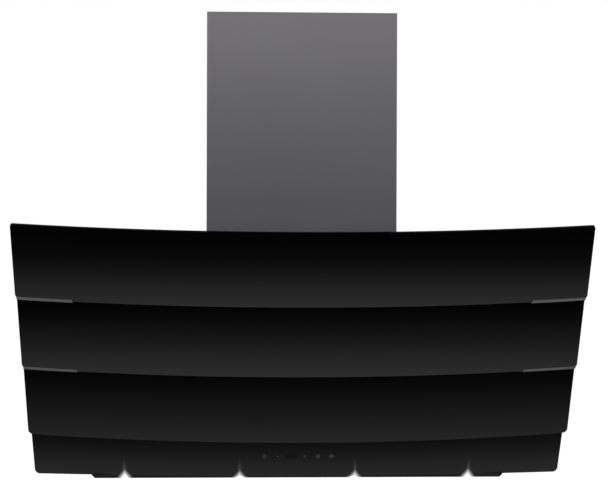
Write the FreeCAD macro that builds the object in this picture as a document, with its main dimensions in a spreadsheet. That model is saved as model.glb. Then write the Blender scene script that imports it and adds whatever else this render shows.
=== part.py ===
"""Wall mount range hood with a slanted front of three bent glass lamellas.

X runs to the right, the front faces -Y and Z points up. The wall is the plane y = 0.
The origin is the centre of the four wall fixing holes.
Sketches count heights from the underside of the body, and place() lowers each piece
by fixing_height. "Inward" is square to a slanted surface and towards the wall, "up" runs
along that surface.
"""
import FreeCAD, Part
import math
import os
import re
import Sketcher

SIZES = {
    # bent glass front
    "glass_width": 898,
    "glass_thick": 5,
    "glass_sag": 28.9,
    "lamella_rise": 115.1,
    "lamella_lean": 55.3,
    "lamella_setback": 70.9,
    "lamella_overlap": 12,
    "upper_corner": 3.5,
    "lower_corner": 8,
    "bond_gap": 0.3,
    "pad_thick": 1.5,
    # fixed control band under the door
    "band_height": 65.8,
    "band_lean": 37.7,
    "band_sag": 33,
    "band_depth": 168.5,
    "band_overlap": 2,
    "grip_gap": 28.7,
    # sheet steel body
    "glass_reach": 19,
    "body_height": 404,
    "body_depth": 119,
    "sheet": 1,
    "flange": 15,
    "frame_foot": 47,
    "swage_width": 12,
    "swage_depth": 3,
    "swage_margin": 45,
    "seam_gap": 0.2,
    # wall fixing
    "fixing_height": 330,
    "fixing_width": 560,
    "fixing_rise": 90,
    "fixing_hole": 4.2,
    # grease filters in the slanted front
    "frame_side": 30,
    "window_height": 330,
    "window_foot": 120,
    "mullion": 40,
    "seat_depth": 10,
    "seat_lip": 8,
    "filter_gap": 0.5,
    "filter_rail": 18,
    "filter_skin": 0.8,
    "pleat_depth": 5,
    "pleat_sheet": 1.2,
    "tab_width": 24,
    "tab_thick": 2,
    "tab_reach": 5,
    "tab_gap": 0.4,
    # sliding filter latch
    "latch_width": 64,
    "latch_height": 20,
    "latch_thick": 2.5,
    "latch_bite": 4,
    "latch_travel": 6,
    "latch_lift": 0.3,
    "latch_guide": 2,
    "latch_guide_head": 4,
    "latch_guide_spacing": 44,
    "latch_guide_gap": 0.3,
    "latch_grip": 2.2,
    # glass door frame
    "arm_inset": 30,
    "arm_sheet": 2,
    "arm_flange": 16,
    "arm_foot": 12,
    "arm_head": 32,
    "door_foot": 106,
    "door_gap": 7,
    "rail_sheet": 1.5,
    "rail_height": 34,
    "rail_depth": 16,
    "rail_drop": 12,
    "clip_length": 88,
    "clip_show": 4.5,
    "clip_inset": 1,
    # door hinge
    "hinge_drop": 18,
    "hinge_offset": 15,
    "hinge_boss": 9,
    "hinge_pin": 4,
    "hinge_play": 0.05,
    "hinge_head": 6,
    "hinge_head_thick": 3,
    "hinge_ear": 3,
    "hinge_gap": 0.6,
    "hinge_base_width": 26,
    "hinge_base_drop": 26,
    "hinge_base_rise": 8,
    "hinge_nut": 5.5,
    "hinge_nut_thick": 4,
    # door stop and magnets
    "bumper_radius": 6,
    "bumper_inset": 70,
    "bumper_up": 113,
    "magnet_width": 44,
    "magnet_height": 12,
    "magnet_place": 150,
    "strike_thick": 1.5,
    "touch_gap": 0.3,
    # lamp tray and lamps
    "tray_width": 702,
    "tray_drop": 5.4,
    "tray_front": 150,
    "tray_back": 82,
    "lamp_pitch": 195,
    "lamp_depth": 117,
    "lamp_body": 54,
    "lamp_height": 22,
    "lamp_cutout": 58,
    "lens_radius": 23,
    "lens_thick": 1,
    # touch controls behind the band
    "key_level": 39,
    "key_centre": 4,
    "key_pitch": 22.6,
    "key_pad": 7,
    "post_width": 7,
    "carrier_width": 168,
    "carrier_height": 40,
    "carrier_depth": 14,
    "carrier_wall": 2,
    "carrier_gap": 1.7,
    "board_thick": 1.6,
    "board_back": 5,
    "display_width": 30,
    "display_height": 13,
    "display_thick": 3,
    "bracket_sheet": 2,
    "bracket_flange": 16,
    "bracket_top": 86,
    "bracket_foot": 24,
    "bracket_high": 72,
    # electronics
    "box_place": 235,
    "box_width": 150,
    "box_height": 90,
    "box_depth": 52,
    "box_level": 70,
    "box_wall": 2,
    "lid_thick": 2,
    "capacitor_half": 14,
    "capacitor_length": 60,
    "capacitor_place": 190,
    "capacitor_level": 60,
    "strap_thick": 1.2,
    "strap_width": 14,
    "gland_place": 118,
    "gland_depth": 60,
    "gland_bore": 4,
    "gland_shank": 8,
    "gland_nut": 13,
    "gland_nut_height": 6,
    "gland_cap": 10,
    "gland_height": 14,
    # blower
    "blower_depth": 150,
    "blower_level": 262,
    "blower_half": 62,
    "scroll_start": 82,
    "scroll_growth": 14,
    "scroll_wall": 2,
    "throat_front": 186,
    "throat_flange": 9,
    "inlet_radius": 60,
    "wheel_radius": 75,
    "wheel_half": 53,
    "wheel_disc": 2,
    "wheel_rim": 2,
    "blade_depth": 13,
    "blade_thick": 1.3,
    "blade_lean": 7,
    "hub_radius": 11,
    "hub_length": 24,
    "shaft_radius": 4,
    "shaft_play": 0.05,
    "shaft_tip": 3,
    "motor_radius": 46,
    "motor_gap": 5,
    "cradle_disc": 20,
    "cradle_thick": 3,
    "cradle_arm": 12,
    "cradle_foot": 10,
    # outlet collar with its non-return flaps
    "collar_radius": 74.5,
    "collar_wall": 2,
    "collar_height": 50,
    "collar_depth": 112,
    "collar_base": 168,
    "collar_base_thick": 2,
    "collar_corner": 12,
    "flap_level": 16,
    "flap_thick": 1.4,
    "flap_gap": 1,
    "flap_root": 4.6,
    "flap_pin": 2,
    "flap_play": 0.05,
    "flap_barrel": 2.9,
    "flap_knuckle": 22,
    "flap_knuckle_gap": 0.5,
    "flap_stop": 4,
    "flap_stop_width": 20,
    "flap_stop_height": 3,
    "flap_rest": 0.3,
    # chimney covers
    "chimney_width": 308,
    "chimney_depth": 278,
    "chimney_height": 364.6,
    "chimney_return": 15,
    "chimney_gap": 0.6,
    "upper_height": 347,
    "chimney_bend": 2,
    "bracket_width": 264,
    "bracket_rise": 30,
    "bracket_thick": 1.5,
    "bracket_drop": 12,
    "bracket_screw_spacing": 200,
    "bracket_hole": 3.2,
    "bracket_tab": 15,
    "base_angle": 14,
    "angle_start": 60,
    "angle_length": 200,
    # round a loose pin, lamp or gland in its hole
    "hole_gap": 0.1,
    # how far a cutting shape runs past the solid that it cuts
    "overrun": 4,
}

LAYOUT = {
    "tilt": "atan(lamella_lean / lamella_rise)",
    "slant": "atan(lamella_setback / lamella_rise)",
    "band_tilt": "atan(band_lean / band_height)",
    "lamella_pitch": "lamella_setback * sin(tilt) + lamella_rise * cos(tilt)",
    "lamella_step": "(lamella_setback - lamella_lean) * cos(tilt)",
    "lamella_length": "lamella_pitch + lamella_overlap",
    "top_length": "lamella_rise / cos(tilt)",
    "key_up": "key_level / cos(band_tilt)",
    "lamella_foot": "band_depth + band_lean + grip_gap",
    "bend": "(glass_width^2 / 4 + glass_sag^2) / (2 * glass_sag)",
    "band_bend": "(glass_width^2 / 4 + band_sag^2) / (2 * band_sag)",
    "band_length": "band_height / cos(band_tilt) + band_overlap",
    "body_width": "glass_width - 2 * glass_reach",
    "inner_half": "body_width / 2 - sheet",
    "inner_top": "body_height - sheet",
    "frame_head": "inner_top / cos(slant) - sheet * tan(slant)",
    "window_width": "(body_width - mullion) / 2 - frame_side",
    "window_place": "(window_width + mullion) / 2",
    "arm_place": "body_width / 2 - arm_inset",
    "bumper_place": "arm_place - bumper_inset",
    "arm_back": "bend - sqrt((bend - glass_thick)^2 - arm_place^2) + pad_thick",
    "bracket_back": "band_bend - sqrt((band_bend - glass_thick)^2 - arm_place^2) + bond_gap",
    "hinge_level": "body_height - hinge_drop",
    "hinge_depth": "body_depth + hinge_level * tan(slant) + hinge_offset / cos(slant)",
    "hinge_up": "hinge_level / cos(slant) + hinge_offset * tan(slant)",
    "edge_half": "inner_half",
    "edge_drop": "(band_bend - sqrt(band_bend^2 - edge_half^2)) / cos(band_tilt)",
    "edge_mid": "band_depth - (glass_thick + bond_gap) / cos(band_tilt)",
    "edge_bend": "(edge_half^2 + edge_drop^2) / (2 * edge_drop)",
    "blower_top": "inner_top - seam_gap",
    "collar_bore": "collar_radius - collar_wall",
    "flap_radius": "collar_bore - flap_gap",
    "flap_height": "body_height + flap_level",
    "upper_half": "chimney_width / 2 - sheet - chimney_gap",
    "upper_depth": "chimney_depth - sheet - chimney_gap",
    "upper_back": "sheet + chimney_gap",
    "upper_level": "body_height + base_angle + flap_rest",
    "arm_top": "top_length - arm_head",
    "cradle_face": "blower_half",
    "blade_root": "wheel_radius - blade_depth",
}

LAMELLAS = ["bottom", "middle", "top"]
SIDES = {"left": -1, "right": 1}
BLADES = 24
PLEATS = 12
LAMPS = 4
CRADLE_ARMS = 3

DOCUMENT = FreeCAD.newDocument("range_hood")
PIECES = []


def make_sheets():
    """Write the driving sizes and the values worked out from them."""
    sizes = DOCUMENT.addObject("Spreadsheet::Sheet", "dims")
    for row, (name, value) in enumerate(SIZES.items(), start=1):
        sizes.set(f"A{row}", name)
        sizes.set(f"B{row}", str(value))
        sizes.setAlias(f"B{row}", name)
    layout = DOCUMENT.addObject("Spreadsheet::Sheet", "layout")
    for row, name in enumerate(LAYOUT, start=1):
        layout.set(f"A{row}", name)
        layout.setAlias(f"B{row}", name)
    for row, formula in enumerate(LAYOUT.values(), start=1):
        layout.set(f"B{row}", "=" + link(formula, inside_layout=True))
    DOCUMENT.recompute()
    return sizes


def link(text, inside_layout=False):
    """Turn size names in a formula into references to the two sheets."""
    def reference(match):
        word = match[0]
        if word in SIZES:
            return "dims." + word
        if word in LAYOUT and not inside_layout:
            return "layout." + word
        return word
    return re.sub(r"[a-z][a-z_]*", reference, str(text))


def size(text):
    """Work a formula out, in millimetres or degrees."""
    value = DIMS.evalExpression(link(text))
    return float(getattr(value, "Value", value))


def piece(name):
    """Start a sub-part."""
    body = DOCUMENT.addObject("PartDesign::Body", name)
    body.AllowCompound = True
    PIECES.append(body)
    return body


def place(body, across="0", along="0", height="0", lean=None, axis=(1, 0, 0)):
    """Put a piece in the hood, turned by lean about an axis."""
    body.Placement = FreeCAD.Placement(FreeCAD.Vector(), FreeCAD.Rotation(FreeCAD.Vector(*axis), 1))
    body.setExpression("Placement.Base.x", link(across))
    body.setExpression("Placement.Base.y", link(along))
    body.setExpression("Placement.Base.z", link(f"{height} - fixing_height"))
    body.setExpression("Placement.Rotation.Angle", link(lean or "0"))


def sketch_on(body, plane, offset="0"):
    """Open a sketch on one of the body's own origin planes."""
    sketch = body.newObject("Sketcher::SketchObject", body.Name + "_sketch")
    support = next(item for item in body.Origin.OriginFeatures if item.Role == plane)
    sketch.AttachmentSupport = [(support, "")]
    sketch.MapMode = "FlatFace"
    sketch.setExpression("AttachmentOffset.Base.z", link(offset))
    return sketch


def pin_point(sketch, edge, end, point):
    """Fix one end of an edge, or a circle's centre, to a point given by two formulas."""
    for kind, text in zip(("DistanceX", "DistanceY"), point):
        index = sketch.addConstraint(Sketcher.Constraint(kind, -1, 1, edge, end, size(text)))
        sketch.setExpression(f"Constraints[{index}]", link(text))


def arc_between(start, end, radius, turn):
    """An arc of under half a circle; turn is 1 when it runs counterclockwise, else -1."""
    chord = end - start
    normal = FreeCAD.Vector(-chord.y, chord.x, 0).normalize() * turn
    reach = math.sqrt(max(radius ** 2 - chord.Length ** 2 / 4, 0))
    centre = start + chord * 0.5 + normal * reach
    return Part.Arc(start, centre - normal * radius, end)


def outline(sketch, points, arcs=None):
    """Draw a closed outline. arcs maps the number of an edge to (radius, turn)."""
    arcs = arcs or {}
    corners = [FreeCAD.Vector(size(across), size(up), 0) for across, up in points]
    ends = []
    for number, start in enumerate(corners):
        end = corners[(number + 1) % len(corners)]
        if number in arcs:
            radius, turn = arcs[number]
            edge = sketch.addGeometry(arc_between(start, end, size(radius), turn))
            ends.append((edge, 1, 2) if turn > 0 else (edge, 2, 1))
        else:
            edge = sketch.addGeometry(Part.LineSegment(start, end))
            ends.append((edge, 1, 2))
    for number, (edge, first, last) in enumerate(ends):
        following = ends[(number + 1) % len(ends)]
        sketch.addConstraint(Sketcher.Constraint("Coincident", edge, last, following[0], following[1]))
        pin_point(sketch, edge, first, points[number])
        if number in arcs:
            radius = arcs[number][0]
            index = sketch.addConstraint(Sketcher.Constraint("Radius", edge, size(radius)))
            sketch.setExpression(f"Constraints[{index}]", link(radius))


def rectangle(sketch, left, right, low, high):
    outline(sketch, [(left, low), (right, low), (right, high), (left, high)])


def centred(sketch, width, low, high):
    rectangle(sketch, f"-({width}) / 2", f"({width}) / 2", low, high)


def square(sketch, across, up, half):
    rectangle(sketch, f"{across} - {half}", f"{across} + {half}", f"{up} - {half}", f"{up} + {half}")


def circle(sketch, across, up, radius):
    centre = FreeCAD.Vector(size(across), size(up), 0)
    edge = sketch.addGeometry(Part.Circle(centre, FreeCAD.Vector(0, 0, 1), size(radius)))
    pin_point(sketch, edge, 3, (across, up))
    index = sketch.addConstraint(Sketcher.Constraint("Radius", edge, size(radius)))
    sketch.setExpression(f"Constraints[{index}]", link(radius))


def pad(body, sketch, length, way="forward"):
    """Pad a sketch forward, backward or to both sides of its plane."""
    return extrude(body, "PartDesign::Pad", sketch, length, way)


def cut(body, sketch, length, way="both"):
    return extrude(body, "PartDesign::Pocket", sketch, length, way)


def extrude(body, kind, sketch, length, way):
    feature = body.newObject(kind, body.Name + "_" + kind.split("::")[1].lower())
    feature.Profile = sketch
    feature.setExpression("Length", link(length))
    if way == "both":
        feature.SideType = "Symmetric"
    feature.Reversed = (way == "backward") != (kind == "PartDesign::Pocket")
    body.Tip = feature
    return feature


def spin(body, sketch, plane_axis):
    """Revolve a sketch once about an origin axis of its body."""
    feature = body.newObject("PartDesign::Revolution", body.Name + "_turned")
    feature.Profile = sketch
    axis = next(item for item in body.Origin.OriginFeatures if item.Role == plane_axis)
    feature.ReferenceAxis = (axis, [""])
    feature.Angle = 360
    body.Tip = feature
    return feature


def round_edges(body, feature, radius, chosen):
    """Fillet the edges for which chosen(edge) is true."""
    DOCUMENT.recompute()
    names = [f"Edge{number}" for number, edge in enumerate(feature.Shape.Edges, start=1) if chosen(edge)]
    fillet = body.newObject("PartDesign::Fillet", body.Name + "_rounding")
    fillet.Base = (feature, names)
    fillet.setExpression("Radius", link(radius))
    body.Tip = fillet
    return fillet


def on_front(inward, up):
    """A point in the side view, from the foot of the body's slanted front plane."""
    return (f"-body_depth + ({inward}) * cos(slant) - ({up}) * sin(slant)",
            f"({inward}) * sin(slant) + ({up}) * cos(slant)")


def on_lamella(number, inward, up):
    """A point in the side view, from the lower front edge of a lamella at mid width."""
    return (f"-(lamella_foot + {number} * lamella_setback)"
            f" + ({inward}) * cos(tilt) - ({up}) * sin(tilt)",
            f"band_height + {number} * lamella_rise + ({inward}) * sin(tilt) + ({up}) * cos(tilt)")


def on_band(inward, up):
    """A point in the side view, from the lower front edge of the control band."""
    return (f"-band_depth + ({inward}) * cos(band_tilt) - ({up}) * sin(band_tilt)",
            f"({inward}) * sin(band_tilt) + ({up}) * cos(band_tilt)")


def strip(sketch, locate, near, low, high, inward):
    """A sheet edge in the side view, drawn in the slanted frame of locate."""
    outline(sketch, [locate(near, low), locate(near, high),
                     locate(f"{near} + {inward}", high), locate(f"{near} + {inward}", low)])


def bent(across, centre, radius):
    """How far inward a bent surface lies at a place across the hood."""
    return f"{centre} - sqrt(({radius})^2 - ({across})^2)"


def bent_strip(sketch, left, right, front, back):
    """The section of a bent pane; front and back are (centre, radius)."""
    outline(sketch,
            [(left, bent(left, *front)), (right, bent(right, *front)),
             (right, bent(right, *back)), (left, bent(left, *back))],
            {0: (front[1], 1), 2: (back[1], -1)})


def side_slab(body, side, outer, thick, points=None, build=None):
    """Pad a side view outline from |x| = outer towards the middle by thick."""
    sketch = sketch_on(body, "YZ_Plane", f"{side} * ({outer})")
    if build:
        build(sketch)
    else:
        outline(sketch, points)
    return pad(body, sketch, thick, "backward" if side > 0 else "forward")


# Body of the hood

def back_panel():
    body = piece("back_panel")
    sketch = sketch_on(body, "XY_Plane", "sheet")
    outline(sketch, [("-inner_half", "0"), ("inner_half", "0"), ("inner_half", "-flange"),
                     ("inner_half - sheet", "-flange"), ("inner_half - sheet", "-sheet"),
                     ("-inner_half + sheet", "-sheet"), ("-inner_half + sheet", "-flange"),
                     ("-inner_half", "-flange")])
    pad(body, sketch, "inner_top - sheet")
    swages = sketch_on(body, "XZ_Plane", "sheet / 2")
    for side in SIDES.values():
        middle = f"{side} * (fixing_width / 2 + swage_margin)"
        rectangle(swages, f"{middle} - swage_width / 2", f"{middle} + swage_width / 2",
                  "swage_margin", "body_height - swage_margin")
    pad(body, swages, "swage_depth + sheet / 2")
    holes = sketch_on(body, "XZ_Plane")
    for side in SIDES.values():
        for level in (-1, 1):
            circle(holes, f"{side} * fixing_width / 2", f"fixing_height + {level} * fixing_rise / 2",
                   "fixing_hole")
    cut(body, holes, "2 * sheet + overrun")
    place(body)


def side_panel(name, side):
    body = piece(name + "_side_panel")
    side_slab(body, side, "body_width / 2", "sheet",
              [("0", "0"), on_front("0", "0"), on_front("0", "body_height / cos(slant)"),
               ("0", "body_height")])
    side_slab(body, side, "body_width / 2 - sheet / 2", "flange",
              build=lambda sketch: strip(sketch, on_front, "sheet", "frame_foot",
                                         "frame_head - flange", "sheet"))
    side_slab(body, side, "body_width / 2 - sheet / 2", "flange",
              [("-2 * flange", "inner_top - sheet"), ("-2 * flange", "inner_top"),
               ("-(chimney_depth)", "inner_top"), ("-(chimney_depth)", "inner_top - sheet")])
    place(body)


def top_panel():
    body = piece("top_panel")
    sketch = sketch_on(body, "YZ_Plane")
    outline(sketch, [("0", "inner_top"), on_front("0", "inner_top / cos(slant)"),
                     on_front("0", "body_height / cos(slant)"), ("0", "body_height")])
    pad(body, sketch, "2 * inner_half", "both")
    holes = sketch_on(body, "XY_Plane", "body_height")
    circle(holes, "0", "-collar_depth", "collar_bore")
    circle(holes, "-gland_place", "-gland_depth", "gland_shank + hole_gap")
    cut(body, holes, "2 * sheet + overrun")
    place(body)


def base_panel():
    """The floor of the hood; its front edge follows the bent control band."""
    body = piece("base_panel")
    sketch = sketch_on(body, "XY_Plane")
    outline(sketch, [("-edge_half", "0"), ("-edge_half", "-edge_mid + edge_drop"),
                     ("edge_half", "-edge_mid + edge_drop"), ("edge_half", "0")],
            {1: ("edge_bend", 1)})
    pad(body, sketch, "sheet")
    cutouts = sketch_on(body, "XY_Plane")
    for number in range(LAMPS):
        square(cutouts, lamp_place(number), "-lamp_depth", "lamp_cutout / 2")
    cut(body, cutouts, "2 * sheet + overrun")
    place(body)


def lamp_place(number):
    return f"({number} - {(LAMPS - 1) / 2}) * lamp_pitch"


def lamp_tray():
    """A shallow pan under the floor, its ends cut at 45 degrees."""
    body = piece("lamp_tray")
    sketch = sketch_on(body, "XZ_Plane", "tray_back")
    outline(sketch, [("-tray_width / 2", "0"), ("-tray_width / 2 + tray_drop", "-tray_drop"),
                     ("tray_width / 2 - tray_drop", "-tray_drop"), ("tray_width / 2", "0")])
    pad(body, sketch, "tray_front - tray_back")
    hollow = sketch_on(body, "XY_Plane")
    rectangle(hollow, "-tray_width / 2 + tray_drop + sheet", "tray_width / 2 - tray_drop - sheet",
              "-tray_front + sheet", "-tray_back - sheet")
    cut(body, hollow, "tray_drop - sheet", "backward")
    cut(body, lamp_circles(body, "-tray_drop", "lens_radius + bond_gap"), "2 * sheet + overrun")
    place(body)


def front_frame():
    """The slanted sheet that holds the two grease filters, each in a stepped seat."""
    body = piece("front_frame")
    plate = sketch_on(body, "XZ_Plane")
    rectangle(plate, "-inner_half", "inner_half", "frame_foot", "frame_head")
    pad(body, plate, "sheet", "backward")
    seats = sketch_on(body, "XZ_Plane")
    for side in SIDES.values():
        window(seats, side, "sheet")
    pad(body, seats, "seat_depth + sheet", "backward")
    openings = sketch_on(body, "XZ_Plane")
    for side in SIDES.values():
        window(openings, side, "-seat_lip")
    cut(body, openings, "2 * (seat_depth + sheet) + overrun")
    recess = sketch_on(body, "XZ_Plane")
    for side in SIDES.values():
        window(recess, side, "0")
    cut(body, recess, "2 * seat_depth")
    slots = sketch_on(body, "XZ_Plane", "-(seat_depth - tab_thick) / 2 + tab_gap")
    for side in SIDES.values():
        for end in (-1, 1):
            middle = f"{side} * window_place + {end} * window_width / 4"
            rectangle(slots, f"{middle} - tab_width / 2 - tab_gap", f"{middle} + tab_width / 2 + tab_gap",
                      "window_foot - tab_reach - tab_gap", "window_foot + overrun")
    cut(body, slots, "tab_thick + 2 * tab_gap", "backward")
    place(body, "0", "-body_depth", "0", "slant")


def window(sketch, side, margin):
    """One filter window of the slanted front, grown by margin."""
    middle = f"{side} * window_place"
    half = f"(window_width / 2 + {margin})"
    rectangle(sketch, f"{middle} - {half}", f"{middle} + {half}",
              f"window_foot - ({margin})", f"window_foot + window_height + ({margin})")


# Grease filters

def filter_frame(name, side):
    body = piece(name + "_filter_frame")
    sketch = sketch_on(body, "XZ_Plane")
    window(sketch, side, "-filter_gap")
    pad(body, sketch, "seat_depth", "backward")
    middle = sketch_on(body, "XZ_Plane")
    window(middle, side, "-filter_gap - filter_rail")
    cut(body, middle, "2 * seat_depth + overrun")
    channel = sketch_on(body, "XZ_Plane", "-seat_depth / 2")
    window(channel, side, "-filter_gap - filter_skin")
    cut(body, channel, "pleat_depth + 2 * filter_gap")
    tabs = sketch_on(body, "XZ_Plane", "-(seat_depth - tab_thick) / 2")
    for end in (-1, 1):
        place_x = f"{side} * window_place + {end} * window_width / 4"
        rectangle(tabs, f"{place_x} - tab_width / 2", f"{place_x} + tab_width / 2",
                  "window_foot - tab_reach", "window_foot + filter_gap + filter_skin")
    pad(body, tabs, "tab_thick", "backward")
    guides = sketch_on(body, "XZ_Plane")
    guide_outlines(guides, side, "latch_guide")
    pad(body, guides, "latch_lift + latch_thick + latch_lift")
    heads = sketch_on(body, "XZ_Plane", "latch_lift + latch_thick + latch_lift")
    guide_outlines(heads, side, "latch_guide_head")
    pad(body, heads, "sheet")
    place(body, "0", "-body_depth", "0", "slant")


LATCH_MIDDLE = "window_foot + window_height - latch_height / 2"


def guide_outlines(sketch, side, half):
    """The two folded tabs that guide a filter latch."""
    for end in (-1, 1):
        middle = f"{side} * window_place + {end} * latch_guide_spacing / 2"
        rectangle(sketch, f"{middle} - {half}", f"{middle} + {half}",
                  f"{LATCH_MIDDLE} - latch_guide", f"{LATCH_MIDDLE} + latch_guide")


def filter_mesh(name, side):
    """Pleated metal mesh: a zigzag sheet that runs from the bottom rail to the top rail."""
    body = piece(name + "_filter_mesh")
    sketch = sketch_on(body, "XY_Plane", "window_foot + filter_rail / 2")
    left = f"{side} * window_place - window_width / 2 + filter_rail / 2"
    pleat = "(window_width - filter_rail) / " + str(2 * PLEATS)
    low = "(seat_depth - pleat_depth) / 2"
    lower = []
    upper = []
    for number in range(2 * PLEATS + 1):
        across = f"{left} + {number} * {pleat}"
        crest = f" + {number % 2} * (pleat_depth - pleat_sheet)"
        lower.append((across, low + crest))
        upper.append((across, low + crest + " + pleat_sheet"))
    outline(sketch, lower + upper[::-1])
    pad(body, sketch, "window_height - filter_rail")
    place(body, "0", "-body_depth", "0", "slant")


def filter_latch(name, side):
    body = piece(name + "_filter_latch")
    sketch = sketch_on(body, "XZ_Plane", "latch_lift")
    middle = f"{side} * window_place"
    rectangle(sketch, f"{middle} - latch_width / 2", f"{middle} + latch_width / 2",
              f"{LATCH_MIDDLE} - latch_height / 2 - latch_travel",
              f"{LATCH_MIDDLE} + latch_height / 2 + latch_bite")
    pad(body, sketch, "latch_thick")
    slots = sketch_on(body, "XZ_Plane", "latch_lift")
    for end in (-1, 1):
        across = f"{middle} + {end} * latch_guide_spacing / 2"
        rectangle(slots, f"{across} - latch_guide - latch_guide_gap",
                  f"{across} + latch_guide + latch_guide_gap",
                  f"{LATCH_MIDDLE} - latch_guide - latch_guide_gap",
                  f"{LATCH_MIDDLE} + latch_guide + latch_guide_gap + latch_travel")
    cut(body, slots, "2 * latch_thick + overrun")
    grip = sketch_on(body, "XZ_Plane", "latch_lift + latch_thick")
    rectangle(grip, f"{middle} - latch_guide_spacing / 4", f"{middle} + latch_guide_spacing / 4",
              f"{LATCH_MIDDLE} - latch_height / 2 - latch_travel", f"{LATCH_MIDDLE} - latch_height / 2")
    pad(body, grip, "latch_grip")
    place(body, "0", "-body_depth", "0", "slant")


# Glass door

def lamella(number, name):
    body = piece("glass_lamella_" + name)
    sketch = sketch_on(body, "XY_Plane")
    bent_strip(sketch, "-glass_width / 2", "glass_width / 2", ("bend", "bend"),
               ("bend", "bend - glass_thick"))
    height = "top_length" if name == "top" else "lamella_length"
    pane = pad(body, sketch, height)
    side = size("glass_width / 2 - glass_thick")
    level = size("glass_thick")

    def corner(edge, low):
        middle = edge.CenterOfMass
        along = abs(edge.BoundBox.ZLength) < level / 2
        near = middle.z < level if low else middle.z > level
        return along and near and abs(middle.x) > side and edge.Length < 2 * level

    rounded = round_edges(body, pane, "lower_corner", lambda edge: corner(edge, True))
    round_edges(body, rounded, "upper_corner", lambda edge: corner(edge, False))
    place(body, "0", f"-(lamella_foot + {number} * lamella_setback)",
          f"band_height + {number} * lamella_rise", "tilt")


def lamella_clips(number, level):
    """Aluminium spacers that hold two lamellas apart at both ends of their overlap."""
    body = piece(f"lamella_clips_{level}")
    sketch = sketch_on(body, "XY_Plane", "-clip_show")
    for side in SIDES.values():
        ends = ["glass_width / 2 - clip_inset", "glass_width / 2 - clip_inset - clip_length"]
        left, right = (ends[1], ends[0]) if side > 0 else ("-(" + ends[0] + ")", "-(" + ends[1] + ")")
        bent_strip(sketch, left, right, ("bend", "bend - glass_thick - bond_gap"),
                   ("(bend + lamella_step)", "bend + bond_gap"))
    pad(body, sketch, "clip_show + lamella_overlap")
    place(body, "0", f"-(lamella_foot + {number} * lamella_setback)",
          f"band_height + {number} * lamella_rise", "tilt")


def door_arm(name, side):
    """A stepped side arm: its front follows the backs of the lamellas."""
    body = piece("door_arm_" + name)
    points = []
    for number, low, high in arm_steps():
        points += [on_lamella(number, "arm_back", low), on_lamella(number, "arm_back", high)]
    points += [on_front("-door_gap", "hinge_up"), on_front("-door_gap", "door_foot")]
    side_slab(body, side, "arm_place", "arm_sheet", points)
    side_slab(body, side, "arm_place", "arm_sheet",
              build=lambda sketch: circle(sketch, "-hinge_depth", "hinge_level", "hinge_boss"))
    for number, low, high in arm_steps():
        def locate(inward, up):
            return on_lamella(number, inward, up)

        side_slab(body, side, "arm_place", "arm_flange",
                  build=lambda sketch: strip(sketch, locate, "arm_back", low, high, "rail_sheet"))
    bore = sketch_on(body, "YZ_Plane", f"{side} * arm_place")
    circle(bore, "-hinge_depth", "hinge_level", "hinge_pin + hinge_play")
    cut(body, bore, "2 * arm_sheet + overrun")
    place(body)


def arm_steps():
    """Where the door arms follow each lamella: its number, low end and high end."""
    return [(0, "arm_foot", "lamella_length + bond_gap"),
            (1, "lamella_overlap + bond_gap", "lamella_length + bond_gap"),
            (2, "lamella_overlap + bond_gap", "arm_top")]


def door_rail(name, low):
    """A channel between the door arms, open to the glass."""
    body = piece("door_rail_" + name)
    near = "-door_gap"
    far = "-door_gap - rail_depth"
    high = f"{low} + rail_height"
    sketch = sketch_on(body, "YZ_Plane")
    outline(sketch, [on_front(near, low), on_front(near, high), on_front(far, high),
                     on_front(far, f"{high} - rail_sheet"),
                     on_front(f"{near} - rail_sheet", f"{high} - rail_sheet"),
                     on_front(f"{near} - rail_sheet", f"{low} + rail_sheet"),
                     on_front(far, f"{low} + rail_sheet"), on_front(far, low)])
    pad(body, sketch, "2 * (arm_place - arm_sheet - seam_gap)", "both")
    place(body)


def glass_pads():
    """Adhesive pads that fill the wedge between the flat arm flanges and the bent glass."""
    body = piece("glass_pads")
    for number in range(len(LAMELLAS)):
        sketch = sketch_on(body, "XY_Plane", f"{number} * lamella_pitch + lamella_overlap + overrun")
        step = f" - {number} * lamella_step"
        for side in SIDES.values():
            ends = ["arm_place", "arm_place - arm_flange + pad_thick"]
            left, right = (ends[1], ends[0]) if side > 0 else ("-(arm_place)", "-(" + ends[1] + ")")
            face = ("(bend" + step + ")", "bend - glass_thick - seam_gap / 2")
            flat = "arm_back - seam_gap / 2" + step
            outline(sketch, [(left, bent(left, *face)), (right, bent(right, *face)), (right, flat),
                             (left, flat)], {0: (face[1], 1)})
        pad(body, sketch, "arm_top - lamella_overlap - 2 * overrun")
    place(body, "0", "-lamella_foot", "band_height", "tilt")


def strike_plates():
    body = piece("strike_plates")
    sketch = sketch_on(body, "XZ_Plane", "door_gap")
    for side in SIDES.values():
        magnet_outline(sketch, side)
    pad(body, sketch, "strike_thick", "backward")
    place(body, "0", "-body_depth", "0", "slant")


def door_magnets():
    body = piece("door_magnets")
    sketch = sketch_on(body, "XZ_Plane")
    for side in SIDES.values():
        magnet_outline(sketch, side)
    pad(body, sketch, "door_gap - strike_thick - touch_gap")
    place(body, "0", "-body_depth", "0", "slant")


def magnet_outline(sketch, side):
    middle = f"{side} * magnet_place"
    rectangle(sketch, f"{middle} - magnet_width / 2", f"{middle} + magnet_width / 2",
              "bumper_up - magnet_height / 2", "bumper_up + magnet_height / 2")


def door_bumpers():
    body = piece("door_bumpers")
    sketch = sketch_on(body, "XZ_Plane")
    for side in SIDES.values():
        circle(sketch, f"{side} * bumper_place", "bumper_up", "bumper_radius")
    pad(body, sketch, "door_gap - touch_gap")
    place(body, "0", "-body_depth", "0", "slant")


# Door hinge

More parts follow.
